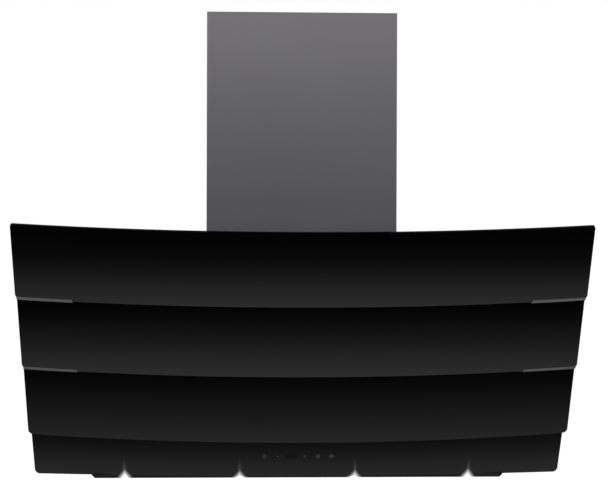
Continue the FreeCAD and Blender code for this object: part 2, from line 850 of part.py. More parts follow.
def hinge_brackets():
    body = piece("hinge_brackets")
    outer = "arm_place + hinge_gap + hinge_ear"
    for side in SIDES.values():
        side_slab(body, side, outer, "hinge_ear",
                  [on_front("0", "hinge_up - hinge_base_drop"),
                   on_front("-hinge_offset - hinge_boss / 2", "hinge_up - hinge_boss + hinge_gap"),
                   on_front("-hinge_offset", "hinge_up + hinge_boss"),
                   on_front("0", "hinge_up + hinge_base_rise")])
        side_slab(body, side, outer, "hinge_ear",
                  build=lambda sketch: circle(sketch, "-hinge_depth", "hinge_level", "hinge_boss"))
        side_slab(body, side, "arm_place + hinge_gap + hinge_base_width", "hinge_base_width",
                  build=lambda sketch: strip(sketch, on_front, "-hinge_ear", "hinge_up - hinge_base_drop",
                                             "hinge_up + hinge_base_rise", "hinge_ear"))
    bore = sketch_on(body, "YZ_Plane")
    circle(bore, "-hinge_depth", "hinge_level", "hinge_pin + hinge_play")
    cut(body, bore, f"2 * ({outer}) + overrun")
    place(body)


def hinge_pins():
    """Shoulder bolts with a hexagon head outside and a hexagon nut inside."""
    body = piece("hinge_pins")
    far = "arm_place + hinge_gap + hinge_ear + seam_gap"
    near = "arm_place - arm_sheet - hinge_gap"
    for side in SIDES.values():
        side_slab(body, side, far, f"{far} - ({near})",
                  build=lambda sketch: circle(sketch, "0", "0", "hinge_pin"))
        side_slab(body, side, f"{far} + hinge_head_thick", "hinge_head_thick",
                  build=lambda sketch: hexagon(sketch, "hinge_head"))
        side_slab(body, side, near, "hinge_nut_thick", build=lambda sketch: hexagon(sketch, "hinge_nut"))
    place(body, "0", "-hinge_depth", "hinge_level")


# Control band

def control_glass():
    """The fixed bent band under the door, its lower edge cut level."""
    body = piece("control_glass")
    below = "(band_sag + glass_thick + overrun) * tan(band_tilt)"
    sketch = sketch_on(body, "XY_Plane", "-" + below)
    bent_strip(sketch, "-glass_width / 2", "glass_width / 2", ("band_bend", "band_bend"),
               ("band_bend", "band_bend - glass_thick"))
    pad(body, sketch, "band_length + " + below)
    level = sketch_on(body, "YZ_Plane")
    far = "(band_sag + glass_thick + 2 * overrun)"
    outline(level, [("-overrun", "overrun * tan(band_tilt)"), ("-overrun", f"-{far} * 2 * tan(band_tilt)"),
                    (far, f"-{far} * 2 * tan(band_tilt)"), (far, f"-{far} * tan(band_tilt)")])
    trimmed = cut(body, level, "glass_width + overrun")
    side = size("glass_width / 2 - glass_thick")
    middle = size("band_length / 2")

    def corner(edge, low):
        short = edge.Length < size("2 * glass_thick")
        return short and abs(edge.CenterOfMass.x) > side and (edge.CenterOfMass.z < middle) == low

    rounded = round_edges(body, trimmed, "lower_corner", lambda edge: corner(edge, True))
    round_edges(body, rounded, "upper_corner", lambda edge: corner(edge, False))
    place(body, "0", "-band_depth", "0", "band_tilt")


def band_brackets():
    """Narrow brackets that carry both ends of the control band."""
    body = piece("band_brackets")
    for side in SIDES.values():
        side_slab(body, side, "arm_place", "bracket_sheet",
                  [on_front("-seam_gap", "frame_foot"), on_band("bracket_back", "bracket_foot"),
                   on_band("bracket_back", "bracket_high"), on_front("-seam_gap", "bracket_top")])
        side_slab(body, side, "arm_place", "bracket_flange",
                  build=lambda sketch: strip(sketch, on_band, "bracket_back", "bracket_foot",
                                             "bracket_high", "rail_sheet"))
    place(body)


def key_carrier():
    """A shallow plastic tray on the back of the band that holds the touch board."""
    body = piece("key_carrier")
    sketch = sketch_on(body, "XZ_Plane", "-(glass_thick + carrier_gap)")
    across = ("key_centre - carrier_width / 2", "key_centre + carrier_width / 2")
    rectangle(sketch, *across, "key_up - carrier_height / 2", "key_up + carrier_height / 2")
    pad(body, sketch, "carrier_depth", "backward")
    hollow = sketch_on(body, "XZ_Plane", "-(glass_thick + carrier_gap)")
    rectangle(hollow, across[0] + " + carrier_wall", across[1] + " - carrier_wall",
              "key_up - carrier_height / 2 + carrier_wall", "key_up + carrier_height / 2 - carrier_wall")
    cut(body, hollow, "carrier_depth - carrier_wall", "backward")
    posts = sketch_on(body, "XZ_Plane", "-(glass_thick + carrier_gap + board_back + board_thick + seam_gap)")
    for end in (-1, 1):
        middle = f"key_centre + {end} * (carrier_width / 2 - carrier_wall - post_width)"
        square(posts, middle, "key_up", "post_width / 2")
    pad(body, posts, "carrier_depth - board_back - board_thick - seam_gap", "backward")
    place(body, "0", "-band_depth", "0", "band_tilt")


def touch_board():
    body = piece("touch_board")
    sketch = sketch_on(body, "XZ_Plane", "-(glass_thick + carrier_gap + board_back)")
    rectangle(sketch, "key_centre - carrier_width / 2 + carrier_wall + seam_gap",
              "key_centre + carrier_width / 2 - carrier_wall - seam_gap",
              "key_up - carrier_height / 2 + carrier_wall + seam_gap",
              "key_up + carrier_height / 2 - carrier_wall - seam_gap")
    pad(body, sketch, "board_thick", "backward")
    springs = sketch_on(body, "XZ_Plane", "-(glass_thick + carrier_gap + board_back)")
    for step in key_steps():
        square(springs, f"key_centre + {step} * key_pitch", "key_up", "key_pad / 2")
    pad(body, springs, "board_back")
    place(body, "0", "-band_depth", "0", "band_tilt")


def key_steps():
    """The touch fields, counted in pitches from the middle; the display takes the third place."""
    return [-2.5, -1.5, 0.5, 1.5, 2.5]


def display_module():
    body = piece("display_module")
    sketch = sketch_on(body, "XZ_Plane", "-(glass_thick + carrier_gap + board_back - seam_gap)")
    middle = "(key_centre - key_pitch / 2)"
    rectangle(sketch, f"{middle} - display_width / 2", f"{middle} + display_width / 2",
              "key_up - display_height / 2", "key_up + display_height / 2")
    pad(body, sketch, "display_thick")
    place(body, "0", "-band_depth", "0", "band_tilt")


# Lamps

def lamp_circles(body, height, radius):
    sketch = sketch_on(body, "XY_Plane", height)
    for number in range(LAMPS):
        circle(sketch, lamp_place(number), "-lamp_depth", radius)
    return sketch


def lamp_housings():
    """Square lamp bodies on the tray, over its round holes."""
    body = piece("lamp_housings")
    sketch = sketch_on(body, "XY_Plane", "-tray_drop + sheet")
    for number in range(LAMPS):
        square(sketch, lamp_place(number), "-lamp_depth", "lamp_body / 2")
    pad(body, sketch, "lamp_height")
    place(body)


def lamp_lenses():
    body = piece("lamp_lenses")
    pad(body, lamp_circles(body, "-tray_drop", "lens_radius"), "lens_thick")
    place(body)


# Electronics

def control_box():
    body = piece("control_box")
    sketch = sketch_on(body, "XZ_Plane", "sheet")
    box_outline(sketch, "0")
    pad(body, sketch, "box_depth")
    hollow = sketch_on(body, "XZ_Plane", "sheet + box_wall")
    box_outline(hollow, "box_wall")
    cut(body, hollow, "box_depth + overrun", "forward")
    place(body)


def box_outline(sketch, margin):
    rectangle(sketch, f"-box_place - box_width / 2 + {margin}", f"-box_place + box_width / 2 - ({margin})",
              f"box_level + {margin}", f"box_level + box_height - ({margin})")


def control_box_lid():
    body = piece("control_box_lid")
    sketch = sketch_on(body, "XZ_Plane", "sheet + box_depth")
    box_outline(sketch, "0")
    pad(body, sketch, "lid_thick")
    plug = sketch_on(body, "XZ_Plane", "sheet + box_depth")
    box_outline(plug, "box_wall + seam_gap")
    pad(body, plug, "lid_thick", "backward")
    place(body)


def run_capacitor():
    body = piece("run_capacitor")
    sketch = sketch_on(body, "XY_Plane")
    square(sketch, "0", "0", "capacitor_half")
    pad(body, sketch, "capacitor_length")
    place(body, "capacitor_place", CAPACITOR_Y, "capacitor_level")


CAPACITOR_Y = "-(sheet + seam_gap + capacitor_half)"


def capacitor_strap():
    """A flat band folded round the capacitor, its feet on the back panel."""
    body = piece("capacitor_strap")
    sketch = sketch_on(body, "XY_Plane", "(capacitor_length - strap_width) / 2")
    inner = "(capacitor_half + seam_gap)"
    outer = "(capacitor_half + seam_gap + strap_thick)"
    foot = "2 * capacitor_half"
    right = [(foot, inner), (foot, f"{inner} - strap_thick"), (outer, f"{inner} - strap_thick"),
             (outer, f"-{outer}")]
    left = [(f"-({across})", along) for across, along in right]
    outline(sketch, right + left[::-1])
    pad(body, sketch, "strap_width")
    hollow = sketch_on(body, "XY_Plane", "capacitor_length / 2")
    rectangle(hollow, f"-{inner}", inner, f"-{inner}", f"2 * {inner}")
    cut(body, hollow, "2 * strap_width")
    place(body, "capacitor_place", CAPACITOR_Y, "capacitor_level")


def mains_gland():
    """The empty cable gland in the top panel, inside the chimney: its nuts and its shank."""
    body = piece("mains_gland")
    below = sketch_on(body, "XY_Plane", "-sheet")
    hexagon(below, "gland_nut")
    pad(body, below, "gland_nut_height", "backward")
    above = sketch_on(body, "XY_Plane")
    hexagon(above, "gland_nut")
    pad(body, above, "gland_nut_height / 2")
    shank = sketch_on(body, "XY_Plane", "-sheet")
    circle(shank, "0", "0", "gland_shank")
    pad(body, shank, "sheet")
    cap = sketch_on(body, "XY_Plane", "gland_nut_height / 2")
    hexagon(cap, "gland_cap")
    pad(body, cap, "gland_height - gland_nut_height / 2")
    bore = sketch_on(body, "XY_Plane")
    circle(bore, "0", "0", "gland_bore")
    cut(body, bore, "4 * gland_height")
    place(body, "-gland_place", "-gland_depth", "body_height")


def hexagon(sketch, flats):
    """A hexagon round the origin; flats is the distance from its middle to each side."""
    corner = f"{flats} / cos(30)"
    high = f"{flats} * tan(30)"
    outline(sketch, [(flats, high), ("0", corner), (f"-{flats}", high), (f"-{flats}", f"-{high}"),
                     ("0", f"-{corner}"), (flats, f"-{high}")])


# Blower

def scroll_outline(sketch, wall, rise="0"):
    """A spiral of three quarter arcs that opens upward into a flared throat."""
    start = f"(scroll_start + {wall})"
    grown = f"(scroll_start + scroll_growth + {wall})"
    full = f"(scroll_start + 2 * scroll_growth + {wall})"
    back = f"scroll_start + 3 * scroll_growth + {wall}"
    top = f"blower_top - blower_level + {rise}"
    points = [("0", start), ("-" + start, "0"), ("scroll_growth", "-" + grown),
              (back, "scroll_growth"), (back, top), (f"blower_depth - throat_front - {wall}", top)]
    shifted = [(f"-blower_depth + {along}", f"blower_level + {height}") for along, height in points]
    outline(sketch, shifted, {0: (start, 1), 1: (grown, 1), 2: (full, 1)})


def blower_housing(name, side):
    body = piece("blower_housing_" + name)
    side_slab(body, side, "blower_half", "blower_half - seam_gap / 2",
              build=lambda sketch: scroll_outline(sketch, "scroll_wall"))
    rim = sketch_on(body, "XY_Plane", "blower_top")
    inner, outer = "seam_gap / 2", "blower_half + throat_flange"
    left, right = (inner, outer) if side > 0 else (f"-({outer})", f"-({inner})")
    rectangle(rim, left, right, "-throat_front - scroll_wall - throat_flange",
              "-blower_depth + scroll_start + 3 * scroll_growth + scroll_wall + throat_flange")
    pad(body, rim, "scroll_wall", "backward")
    hollow = sketch_on(body, "YZ_Plane", f"{side} * (blower_half - scroll_wall)")
    scroll_outline(hollow, "0", "overrun")
    cut(body, hollow, "blower_half", "backward" if side > 0 else "forward")
    inlet = sketch_on(body, "YZ_Plane", f"{side} * blower_half")
    circle(inlet, "-blower_depth", "blower_level", "inlet_radius")
    cut(body, inlet, "2 * scroll_wall + overrun")
    place(body)


def impeller():
    """A double inlet wheel with forward leaning blades."""
    body = piece("impeller")
    disc = sketch_on(body, "YZ_Plane")
    wheel_polygon(disc, "wheel_radius")
    pad(body, disc, "wheel_disc", "both")
    hub = sketch_on(body, "YZ_Plane")
    circle(hub, "0", "0", "hub_radius")
    pad(body, hub, "hub_length")
    for side in SIDES.values():
        side_slab(body, side, "wheel_half", "wheel_rim", build=rim_outline)
    bore = sketch_on(body, "YZ_Plane")
    circle(bore, "0", "0", "shaft_radius + shaft_play")
    cut(body, bore, "2 * hub_length + overrun")
    blade = sketch_on(body, "YZ_Plane")
    tip = "wheel_radius - blade_thick"
    outline(blade, [("0", "blade_root"), ("blade_lean", tip), ("blade_lean + blade_thick", tip),
                    ("blade_thick", "blade_root")])
    first = pad(body, blade, "2 * wheel_half", "both")
    DOCUMENT.recompute()
    blades = body.newObject("PartDesign::PolarPattern", "impeller_blades")
    blades.Originals = [first]
    axis = next(item for item in body.Origin.OriginFeatures if item.Role == "X_Axis")
    blades.Axis = (axis, [""])
    blades.Angle = 360
    blades.Occurrences = BLADES
    body.Tip = blades
    place(body, "0", "-blower_depth", "blower_level")


def wheel_polygon(sketch, radius):
    """An outline round the wheel with one straight length for each blade."""
    turns = [f"({number} * 360 / {BLADES})" for number in range(BLADES)]
    outline(sketch, [(f"{radius} * cos{turn}", f"{radius} * sin{turn}") for turn in turns])


def rim_outline(sketch):
    wheel_polygon(sketch, "wheel_radius")
    wheel_polygon(sketch, "blade_root")


def motor_shaft():
    body = piece("motor_shaft")
    sketch = sketch_on(body, "YZ_Plane", "seam_gap - cradle_face")
    circle(sketch, "0", "0", "shaft_radius")
    pad(body, sketch, "cradle_face - seam_gap + hub_length + shaft_tip")
    place(body, "0", "-blower_depth", "blower_level")


def blower_motor():
    """The motor stands inside the left half of the wheel."""
    body = piece("blower_motor")
    sketch = sketch_on(body, "XY_Plane")
    bore = "shaft_radius + shaft_play"
    outline(sketch, [("-cradle_face", bore), ("-motor_gap", bore), ("-motor_gap", "motor_radius"),
                     ("-cradle_face", "motor_radius")])
    spin(body, sketch, "X_Axis")
    place(body, "0", "-blower_depth", "blower_level")


def motor_cradle():
    """A three-armed spider across the left inlet that carries the motor."""
    body = piece("motor_cradle")
    disc = sketch_on(body, "YZ_Plane", "-cradle_face")
    circle(disc, "0", "0", "cradle_disc")
    pad(body, disc, "cradle_thick", "backward")
    arm = sketch_on(body, "YZ_Plane", "-cradle_face")
    centred(arm, "cradle_arm", "0", "inlet_radius + cradle_foot")
    first = pad(body, arm, "cradle_thick", "backward")
    DOCUMENT.recompute()
    arms = body.newObject("PartDesign::PolarPattern", "motor_cradle_arms")
    arms.Originals = [first]
    axis = next(item for item in body.Origin.OriginFeatures if item.Role == "X_Axis")
    arms.Axis = (axis, [""])
    arms.Angle = 360
    arms.Occurrences = CRADLE_ARMS
    body.Tip = arms
    place(body, "0", "-blower_depth", "blower_level")


# Outlet collar and its flaps

def outlet_collar():
    """The round spigot that the duct slips over, with a lug under each flap."""
    body = piece("outlet_collar")
    base = sketch_on(body, "XY_Plane")
    centred(base, "collar_base", "-collar_base / 2", "collar_base / 2")
    plate = pad(body, base, "collar_base_thick")
    plate = round_edges(body, plate, "collar_corner",
                        lambda edge: edge.BoundBox.ZLength > size("collar_base_thick / 2"))
    tube = sketch_on(body, "XY_Plane")
    circle(tube, "0", "0", "collar_radius")
    pad(body, tube, "collar_height")
    bore = sketch_on(body, "XY_Plane")
    circle(bore, "0", "0", "collar_bore")
    cut(body, bore, "2 * collar_height + overrun")
    lugs = sketch_on(body, "XY_Plane", "flap_level - flap_thick / 2 - flap_rest")
    reach = "collar_bore - flap_stop"
    centred(lugs, "flap_stop_width", reach, "collar_bore + collar_wall / 2")
    centred(lugs, "flap_stop_width", "-(collar_bore + collar_wall / 2)", f"-({reach})")
    pad(body, lugs, "flap_stop_height", "backward")
    pin = sketch_on(body, "YZ_Plane")
    circle(pin, "0", "flap_level", "flap_pin + flap_play")
    cut(body, pin, "2 * collar_radius + overrun")
    place(body, "0", "-collar_depth", "body_height")


def flap_shaft():
    body = piece("flap_shaft")
    sketch = sketch_on(body, "YZ_Plane")
    circle(sketch, "0", "0", "flap_pin")
    pad(body, sketch, "2 * collar_radius", "both")
    place(body, "0", "-collar_depth", "flap_height")


def damper_flap(name, side):
    """Half a disc with two knuckles round the shaft."""
    body = piece("damper_flap_" + name)
    half = "sqrt(flap_radius^2 - flap_root^2)"
    root = f"{side} * flap_root"
    leaf = sketch_on(body, "XY_Plane", "-flap_thick / 2")
    ends = [("-" + half, root), (half, root)]
    if side > 0:
        outline(leaf, ends, {1: ("flap_radius", 1)})
    else:
        outline(leaf, ends, {0: ("flap_radius", 1)})
    pad(body, leaf, "flap_thick")
    for number in (-1, 1):
        middle = f"(({number} + {side} / 2) * (flap_knuckle + flap_knuckle_gap))"
        web = sketch_on(body, "XY_Plane", "-flap_thick / 2")
        edges = ("0", f"{root} * (flap_root + flap_thick) / flap_root")
        low, high = edges if side > 0 else edges[::-1]
        rectangle(web, f"{middle} - flap_knuckle / 2", f"{middle} + flap_knuckle / 2", low, high)
        pad(body, web, "flap_thick")
        barrel = sketch_on(body, "YZ_Plane", f"{middle} - flap_knuckle / 2")
        square(barrel, "0", "0", "flap_barrel")
        pad(body, barrel, "flap_knuckle")
    bore = sketch_on(body, "YZ_Plane")
    circle(bore, "0", "0", "flap_pin + flap_play")
    cut(body, bore, "2 * flap_radius")
    place(body, "0", "-collar_depth", "flap_height")


# Chimney

def channel(sketch, half, depth, back):
    """A U-shaped cover section with returns along the wall."""
    inner = f"{half} - sheet"
    fold = f"{half} - chimney_bend"
    right = [(half, f"-({depth}) + chimney_bend"), (half, f"-({back})"),
             (f"{half} - chimney_return", f"-({back})"), (f"{half} - chimney_return", f"-({back}) - sheet"),
             (inner, f"-({back}) - sheet"), (inner, f"-({depth}) + chimney_bend"),
             (fold, f"-({depth}) + sheet")]
    left = [(f"-({across})", along) for across, along in right]
    points = [(fold, f"-({depth})")] + right + left[::-1] + [(f"-({fold})", f"-({depth})")]
    count = len(right)
    outline(sketch, points, {0: ("chimney_bend", 1), count - 1: ("chimney_bend - sheet", -1),
                             count + 1: ("chimney_bend - sheet", -1), 2 * count: ("chimney_bend", 1)})


def chimney_lower_cover():
    body = piece("chimney_lower_cover")
    sketch = sketch_on(body, "XY_Plane", "body_height")
    channel(sketch, "chimney_width / 2", "chimney_depth", "0")
    pad(body, sketch, "chimney_height")
    place(body)


def chimney_angles():
    """Angles on the top panel that the lower cover is screwed to."""
    body = piece("chimney_angles")
    for side in SIDES.values():
        face = "chimney_width / 2 - sheet"
        sketch = sketch_on(body, "XZ_Plane", "angle_start")
        points = [(face, "body_height"), (face, "body_height + base_angle"),
                  (f"{face} - sheet", "body_height + base_angle"), (f"{face} - sheet", "body_height + sheet"),
                  (f"{face} - base_angle", "body_height + sheet"), (f"{face} - base_angle", "body_height")]
        outline(sketch, [(f"{side} * ({across})", height) for across, height in points])
        pad(body, sketch, "angle_length")
    place(body)


def chimney_upper_cover():
    body = piece("chimney_upper_cover")
    sketch = sketch_on(body, "XY_Plane", "upper_level")
    channel(sketch, "upper_half", "upper_depth", "upper_back")
    pad(body, sketch, "upper_height")
    place(body)


def chimney_wall_bracket():
    """A joggled strip: its middle lies on the wall and its tabs hold the upper cover."""
    body = piece("chimney_wall_bracket")
    top = "upper_level + upper_height - bracket_drop"
    sketch = sketch_on(body, "XY_Plane", top + " - bracket_rise")
    half = "bracket_width / 2"
    tab = "bracket_width / 2 + bracket_tab"
    near = "upper_back + sheet"
    right = [(half, "0"), (half, f"-({near})"), (tab, f"-({near})"), (tab, f"-({near} + bracket_thick)"),
             (f"{half} - bracket_thick", f"-({near} + bracket_thick)"),
             (f"{half} - bracket_thick", "-bracket_thick")]
    left = [(f"-({across})", along) for across, along in right]
    outline(sketch, right + left[::-1])
    pad(body, sketch, "bracket_rise")
    holes = sketch_on(body, "XZ_Plane")
    for side in SIDES.values():
        circle(holes, f"{side} * bracket_screw_spacing / 2", top + " - bracket_rise / 2", "bracket_hole")
    cut(body, holes, "2 * bracket_thick + overrun")
    place(body)


def build():
    for make in (back_panel, top_panel, base_panel, lamp_tray, front_frame):
        make()
    for name, side in SIDES.items():
        for make in (side_panel, filter_frame, filter_mesh, filter_latch, door_arm, blower_housing):
            make(name, side)
    for number, name in enumerate(LAMELLAS):
        lamella(number, name)
    lamella_clips(1, "lower")
    lamella_clips(2, "upper")
    door_rail("bottom", "door_foot")
    door_rail("top", "hinge_up - rail_drop - rail_height")
    for make in (glass_pads, strike_plates, door_magnets, door_bumpers, hinge_brackets, hinge_pins,
                 control_glass, band_brackets, key_carrier, touch_board, display_module, lamp_housings,
                 lamp_lenses, control_box, control_box_lid, run_capacitor, capacitor_strap, mains_gland,
                 impeller, motor_shaft, blower_motor, motor_cradle, outlet_collar, flap_shaft,
                 chimney_lower_cover, chimney_angles, chimney_upper_cover, chimney_wall_bracket):
        make()
    damper_flap("rear", 1)
    damper_flap("front", -1)


def export():
    """Check every object, then write one file for each piece."""
    DOCUMENT.recompute()
    for item in DOCUMENT.Objects:
        if {"Invalid", "Error"} & set(item.State):
            raise RuntimeError(f"{item.Label} failed: {item.State}")
    for body in PIECES:
        if body.Shape.isNull() or not body.Shape.isValid() or not body.Shape.Solids:
            raise RuntimeError(f"{body.Label} has no valid solid")
    os.makedirs("parts", exist_ok=True)
    for body in PIECES:
        body.Shape.exportStep(f"parts/{body.Label}.step")


DIMS = make_sheets()
build()
export()
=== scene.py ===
"""Looks of a wall mount range hood with a slanted front of bent black glass.

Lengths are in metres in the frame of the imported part: X runs to the right, the front
faces -Y, Z points up and the wall is the plane y = 0. Levels are greys as a screen shows
them, from 0 to 1, and colours are amounts of light.
"""
import math

import bmesh
import bpy
from mathutils import Matrix, Vector
from mathutils.bvhtree import BVHTree


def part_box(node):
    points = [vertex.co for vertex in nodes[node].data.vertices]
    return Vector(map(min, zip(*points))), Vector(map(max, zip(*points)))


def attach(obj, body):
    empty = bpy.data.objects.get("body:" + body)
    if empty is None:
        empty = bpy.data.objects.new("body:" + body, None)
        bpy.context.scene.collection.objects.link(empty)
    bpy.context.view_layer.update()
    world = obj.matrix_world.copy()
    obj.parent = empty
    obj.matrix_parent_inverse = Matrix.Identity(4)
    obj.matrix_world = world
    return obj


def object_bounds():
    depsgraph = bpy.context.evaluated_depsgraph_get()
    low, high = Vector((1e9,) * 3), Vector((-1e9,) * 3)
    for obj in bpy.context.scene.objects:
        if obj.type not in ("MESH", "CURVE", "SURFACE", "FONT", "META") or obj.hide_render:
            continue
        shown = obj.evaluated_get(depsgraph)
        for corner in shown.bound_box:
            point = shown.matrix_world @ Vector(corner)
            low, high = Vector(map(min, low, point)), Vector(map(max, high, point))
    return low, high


MM = 0.001

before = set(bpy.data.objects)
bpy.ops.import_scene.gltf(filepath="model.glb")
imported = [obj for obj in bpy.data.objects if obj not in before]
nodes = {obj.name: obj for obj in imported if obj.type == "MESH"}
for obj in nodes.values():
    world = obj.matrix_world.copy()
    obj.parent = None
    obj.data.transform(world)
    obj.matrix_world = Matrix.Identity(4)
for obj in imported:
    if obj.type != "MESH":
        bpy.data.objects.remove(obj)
cad_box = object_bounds()
scene = bpy.context.scene

# Sizes of the solids

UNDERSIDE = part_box("base_panel")[0].z
TRAY_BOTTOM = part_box("lamp_tray")[0].z
LAMPS = 4
LAMP_PITCH = 195 * MM
LAMP_DEPTH = -117 * MM
LAMELLA_TILT = math.radians(25.66)
DOWN_SLOPE = Vector((0, math.sin(LAMELLA_TILT), -math.cos(LAMELLA_TILT)))
INWARD = Vector((0, math.cos(LAMELLA_TILT), math.sin(LAMELLA_TILT)))
BEND_RADIUS = 3500 * MM
BAND_RISE = 0.881  # Height gained for each unit up the band's slope

# Screws and prints

SHEET_SCREW_RADIUS = 3.2 * MM
TOUCH_PITCH = 22.6 * MM
TOUCH_HEIGHT = UNDERSIDE + 36.8 * MM
DISPLAY_PLACE = -13.4 * MM
PRINT_LIFT = 0.1 * MM
SIGN_LEVEL = 0.30
WINDOW_LEVEL = 0.085

# Glass and the painted flare of the lamps on it

GLASS_IOR = 1.06
GLASS_EDGE_LEVEL = 0.12
GLASS_BACK_LEVEL = 0.085
NOTCH_SHIFT = -2.2 * MM
NOTCH_CORE = 5.2 * MM
NOTCH_REACH = 17.0 * MM
NOTCH_FADE_ACROSS = 1.05
NOTCH_FADE_UP = 0.8
STREAK_HALF_WIDTH = 5.2 * MM
STREAK_START = 8 * MM
STREAK_END = 42 * MM
STREAK_LEVEL = 0.38
# Colour of the painted lamp flare that glows on the glass and the tray
PAINTED_FLARE_COLOUR = (1, 1, 0.98, 1)

# Camera, fitted to the edges in the photograph

CAMERA_PLACE = (-88.9 * MM, -2644.8 * MM, 81.4 * MM)
CAMERA_YAW = math.radians(2.239)
CAMERA_PITCH = math.radians(-0.341)
CAMERA_ROLL = math.radians(0.172)
FOCAL_LENGTH = 86.66
SENSOR_WIDTH = 36

# Floor and lights

FLOOR_DROP = 0.3
FLOOR_HALF_SIZE = 30.0
FLOOR_LIFT = 0.24
LIGHT_TARGET = (0, -0.2, 0)


# Node helpers

NOISE_LOW, NOISE_HIGH = 0.3, 0.7


def new_material(name):
    """A material with a bare Principled shader; returns the material, its nodes and the shader."""
    material = bpy.data.materials.new(name)
    material.use_nodes = True
    tree = material.node_tree
    tree.nodes.clear()
    shader = tree.nodes.new("ShaderNodeBsdfPrincipled")
    output = tree.nodes.new("ShaderNodeOutputMaterial")
    tree.links.new(shader.outputs["BSDF"], output.inputs["Surface"])
    return material, tree, shader


def feed(tree, socket, value):
    """Give a socket a number or a colour, or link it to another socket."""
    if isinstance(value, bpy.types.NodeSocket):
        tree.links.new(value, socket)
    elif isinstance(value, tuple):
        socket.default_value = (*value, 1)
    else:
        socket.default_value = value


def math_node(tree, operation, *values, clamp=False):
    """A Math node fed with sockets or numbers; returns its output."""
    node = tree.nodes.new("ShaderNodeMath")
    node.operation = operation
    node.use_clamp = clamp
    for socket, value in zip(node.inputs, values):
        feed(tree, socket, value)
    return node.outputs[0]


def plus(tree, first, second):
    """The sum of two sockets or numbers."""
    return math_node(tree, "ADD", first, second)


def minus(tree, first, second):
    """The difference of two sockets or numbers."""
    return math_node(tree, "SUBTRACT", first, second)


def times(tree, first, second):
    """The product of two sockets or numbers."""
    return math_node(tree, "MULTIPLY", first, second)


def object_place(tree):
    """The object's own coordinates."""
    return tree.nodes.new("ShaderNodeTexCoord").outputs["Object"]


def axes(tree, vector):
    """A vector's three parts."""
    split = tree.nodes.new("ShaderNodeSeparateXYZ")
    tree.links.new(vector, split.inputs[0])
    return split.outputs


def scaled(tree, vector, scale):
    """The vector multiplied by scale along each axis."""
    node = tree.nodes.new("ShaderNodeVectorMath")
    node.operation = "MULTIPLY"
    tree.links.new(vector, node.inputs[0])
    node.inputs[1].default_value = scale
    return node.outputs[0]


def noise(tree, vector, scale, detail, stretch=(1, 1, 1)):
    """A noise texture; stretch multiplies the coordinates, so its grain runs along the least of them."""
    node = tree.nodes.new("ShaderNodeTexNoise")
    node.inputs["Scale"].default_value = scale
    node.inputs["Detail"].default_value = detail
    tree.links.new(scaled(tree, vector, stretch), node.inputs["Vector"])
    return node.outputs["Fac"]


def between(tree, value, low, high, new_low, new_high):
    """Map value from one range to another, held at the ends."""
    node = tree.nodes.new("ShaderNodeMapRange")
    numbers = {"Value": value, "From Min": low, "From Max": high, "To Min": new_low, "To Max": new_high}
    for name, number in numbers.items():
        feed(tree, node.inputs[name], number)
    return node.outputs["Result"]


def spread(tree, texture, low, high):
    """Spread the values that a noise texture mostly has over a range."""
    return between(tree, texture, NOISE_LOW, NOISE_HIGH, low, high)


def share_of(tree, value, low, high):
    """How far value has come from low to high, between 0 and 1."""
    return between(tree, value, low, high, 0, 1)


def mixed(tree, factor, first, second, blend="MIX"):
    """Blend two colours, each a colour or a socket, by a factor."""
    node = tree.nodes.new("ShaderNodeMix")
    node.data_type = "RGBA"
    node.blend_type = blend
    for socket, value in ((node.inputs["Factor"], factor), (node.inputs[6], first), (node.inputs[7], second)):
        feed(tree, socket, value)
    return node.outputs[2]


def display_to_linear(tree, level):
    """The amount of light that shows as a display level."""
    offset, power, light_at_zero = 0.055, 2.4, 0.0008
    raised = times(tree, plus(tree, level, offset), 1 / (1 + offset))
    return math_node(tree, "SUBTRACT", math_node(tree, "POWER", raised, power), light_at_zero, clamp=True)


def grey(tree, level):
    """A neutral colour from a display level between 0 and 1."""
    linear = display_to_linear(tree, level)
    node = tree.nodes.new("ShaderNodeCombineColor")
    for socket in node.inputs:
        tree.links.new(linear, socket)
    return node.outputs[0]


def level_ramp(tree, share, stops):
    """A display level that follows (share, level) stops."""
    ramp = tree.nodes.new("ShaderNodeValToRGB")
    ramp.color_ramp.elements[0].position = stops[0][0]
    ramp.color_ramp.elements[1].position = stops[-1][0]
    for position, _ in stops[1:-1]:
        ramp.color_ramp.elements.new(position)
    for element, (_, level) in zip(ramp.color_ramp.elements, stops):
        element.color = (level, level, level, 1)
    tree.links.new(share, ramp.inputs["Fac"])
    return ramp.outputs["Color"]


def bump(tree, shader, height, strength, distance, normal=None):
    """Give the shader small relief from a height, on top of another normal where one is given."""
    node = tree.nodes.new("ShaderNodeBump")
    if normal is not None:
        tree.links.new(normal, node.inputs["Normal"])
    node.inputs["Strength"].default_value = strength
    node.inputs["Distance"].default_value = distance
    tree.links.new(height, node.inputs["Height"])
    tree.links.new(node.outputs["Normal"], shader.inputs["Normal"])


def rounded_edges(tree, radius):
    """The normal rounded over every bend and edge, and a mask that is 1 along them and 0 on the flat."""
    flat_likeness, bent_likeness = 0.995, 0.85
    rounded = tree.nodes.new("ShaderNodeBevel")
    rounded.samples = 4
    rounded.inputs["Radius"].default_value = radius
    flat = tree.nodes.new("ShaderNodeNewGeometry")
    likeness = tree.nodes.new("ShaderNodeVectorMath")
    likeness.operation = "DOT_PRODUCT"
    tree.links.new(rounded.outputs["Normal"], likeness.inputs[0])
    tree.links.new(flat.outputs["Normal"], likeness.inputs[1])
    return rounded.outputs["Normal"], share_of(tree, likeness.outputs["Value"], flat_likeness, bent_likeness)


def colour_from(tree, shader, colour):
    """Link the surface's colour."""
    tree.links.new(colour, shader.inputs["Base Color"])


def uneven_roughness(tree, shader, texture, low, high):
    """Roughness that follows a noise texture."""
    tree.links.new(spread(tree, texture, low, high), shader.inputs["Roughness"])


def painted_glow(tree, shader, strength):
    """Painted glow of the lamps' flare on a surface that is no lamp, where strength is above 0."""
    tree.links.new(strength, shader.inputs["Emission Strength"])
    shader.inputs["Emission Color"].default_value = PAINTED_FLARE_COLOUR


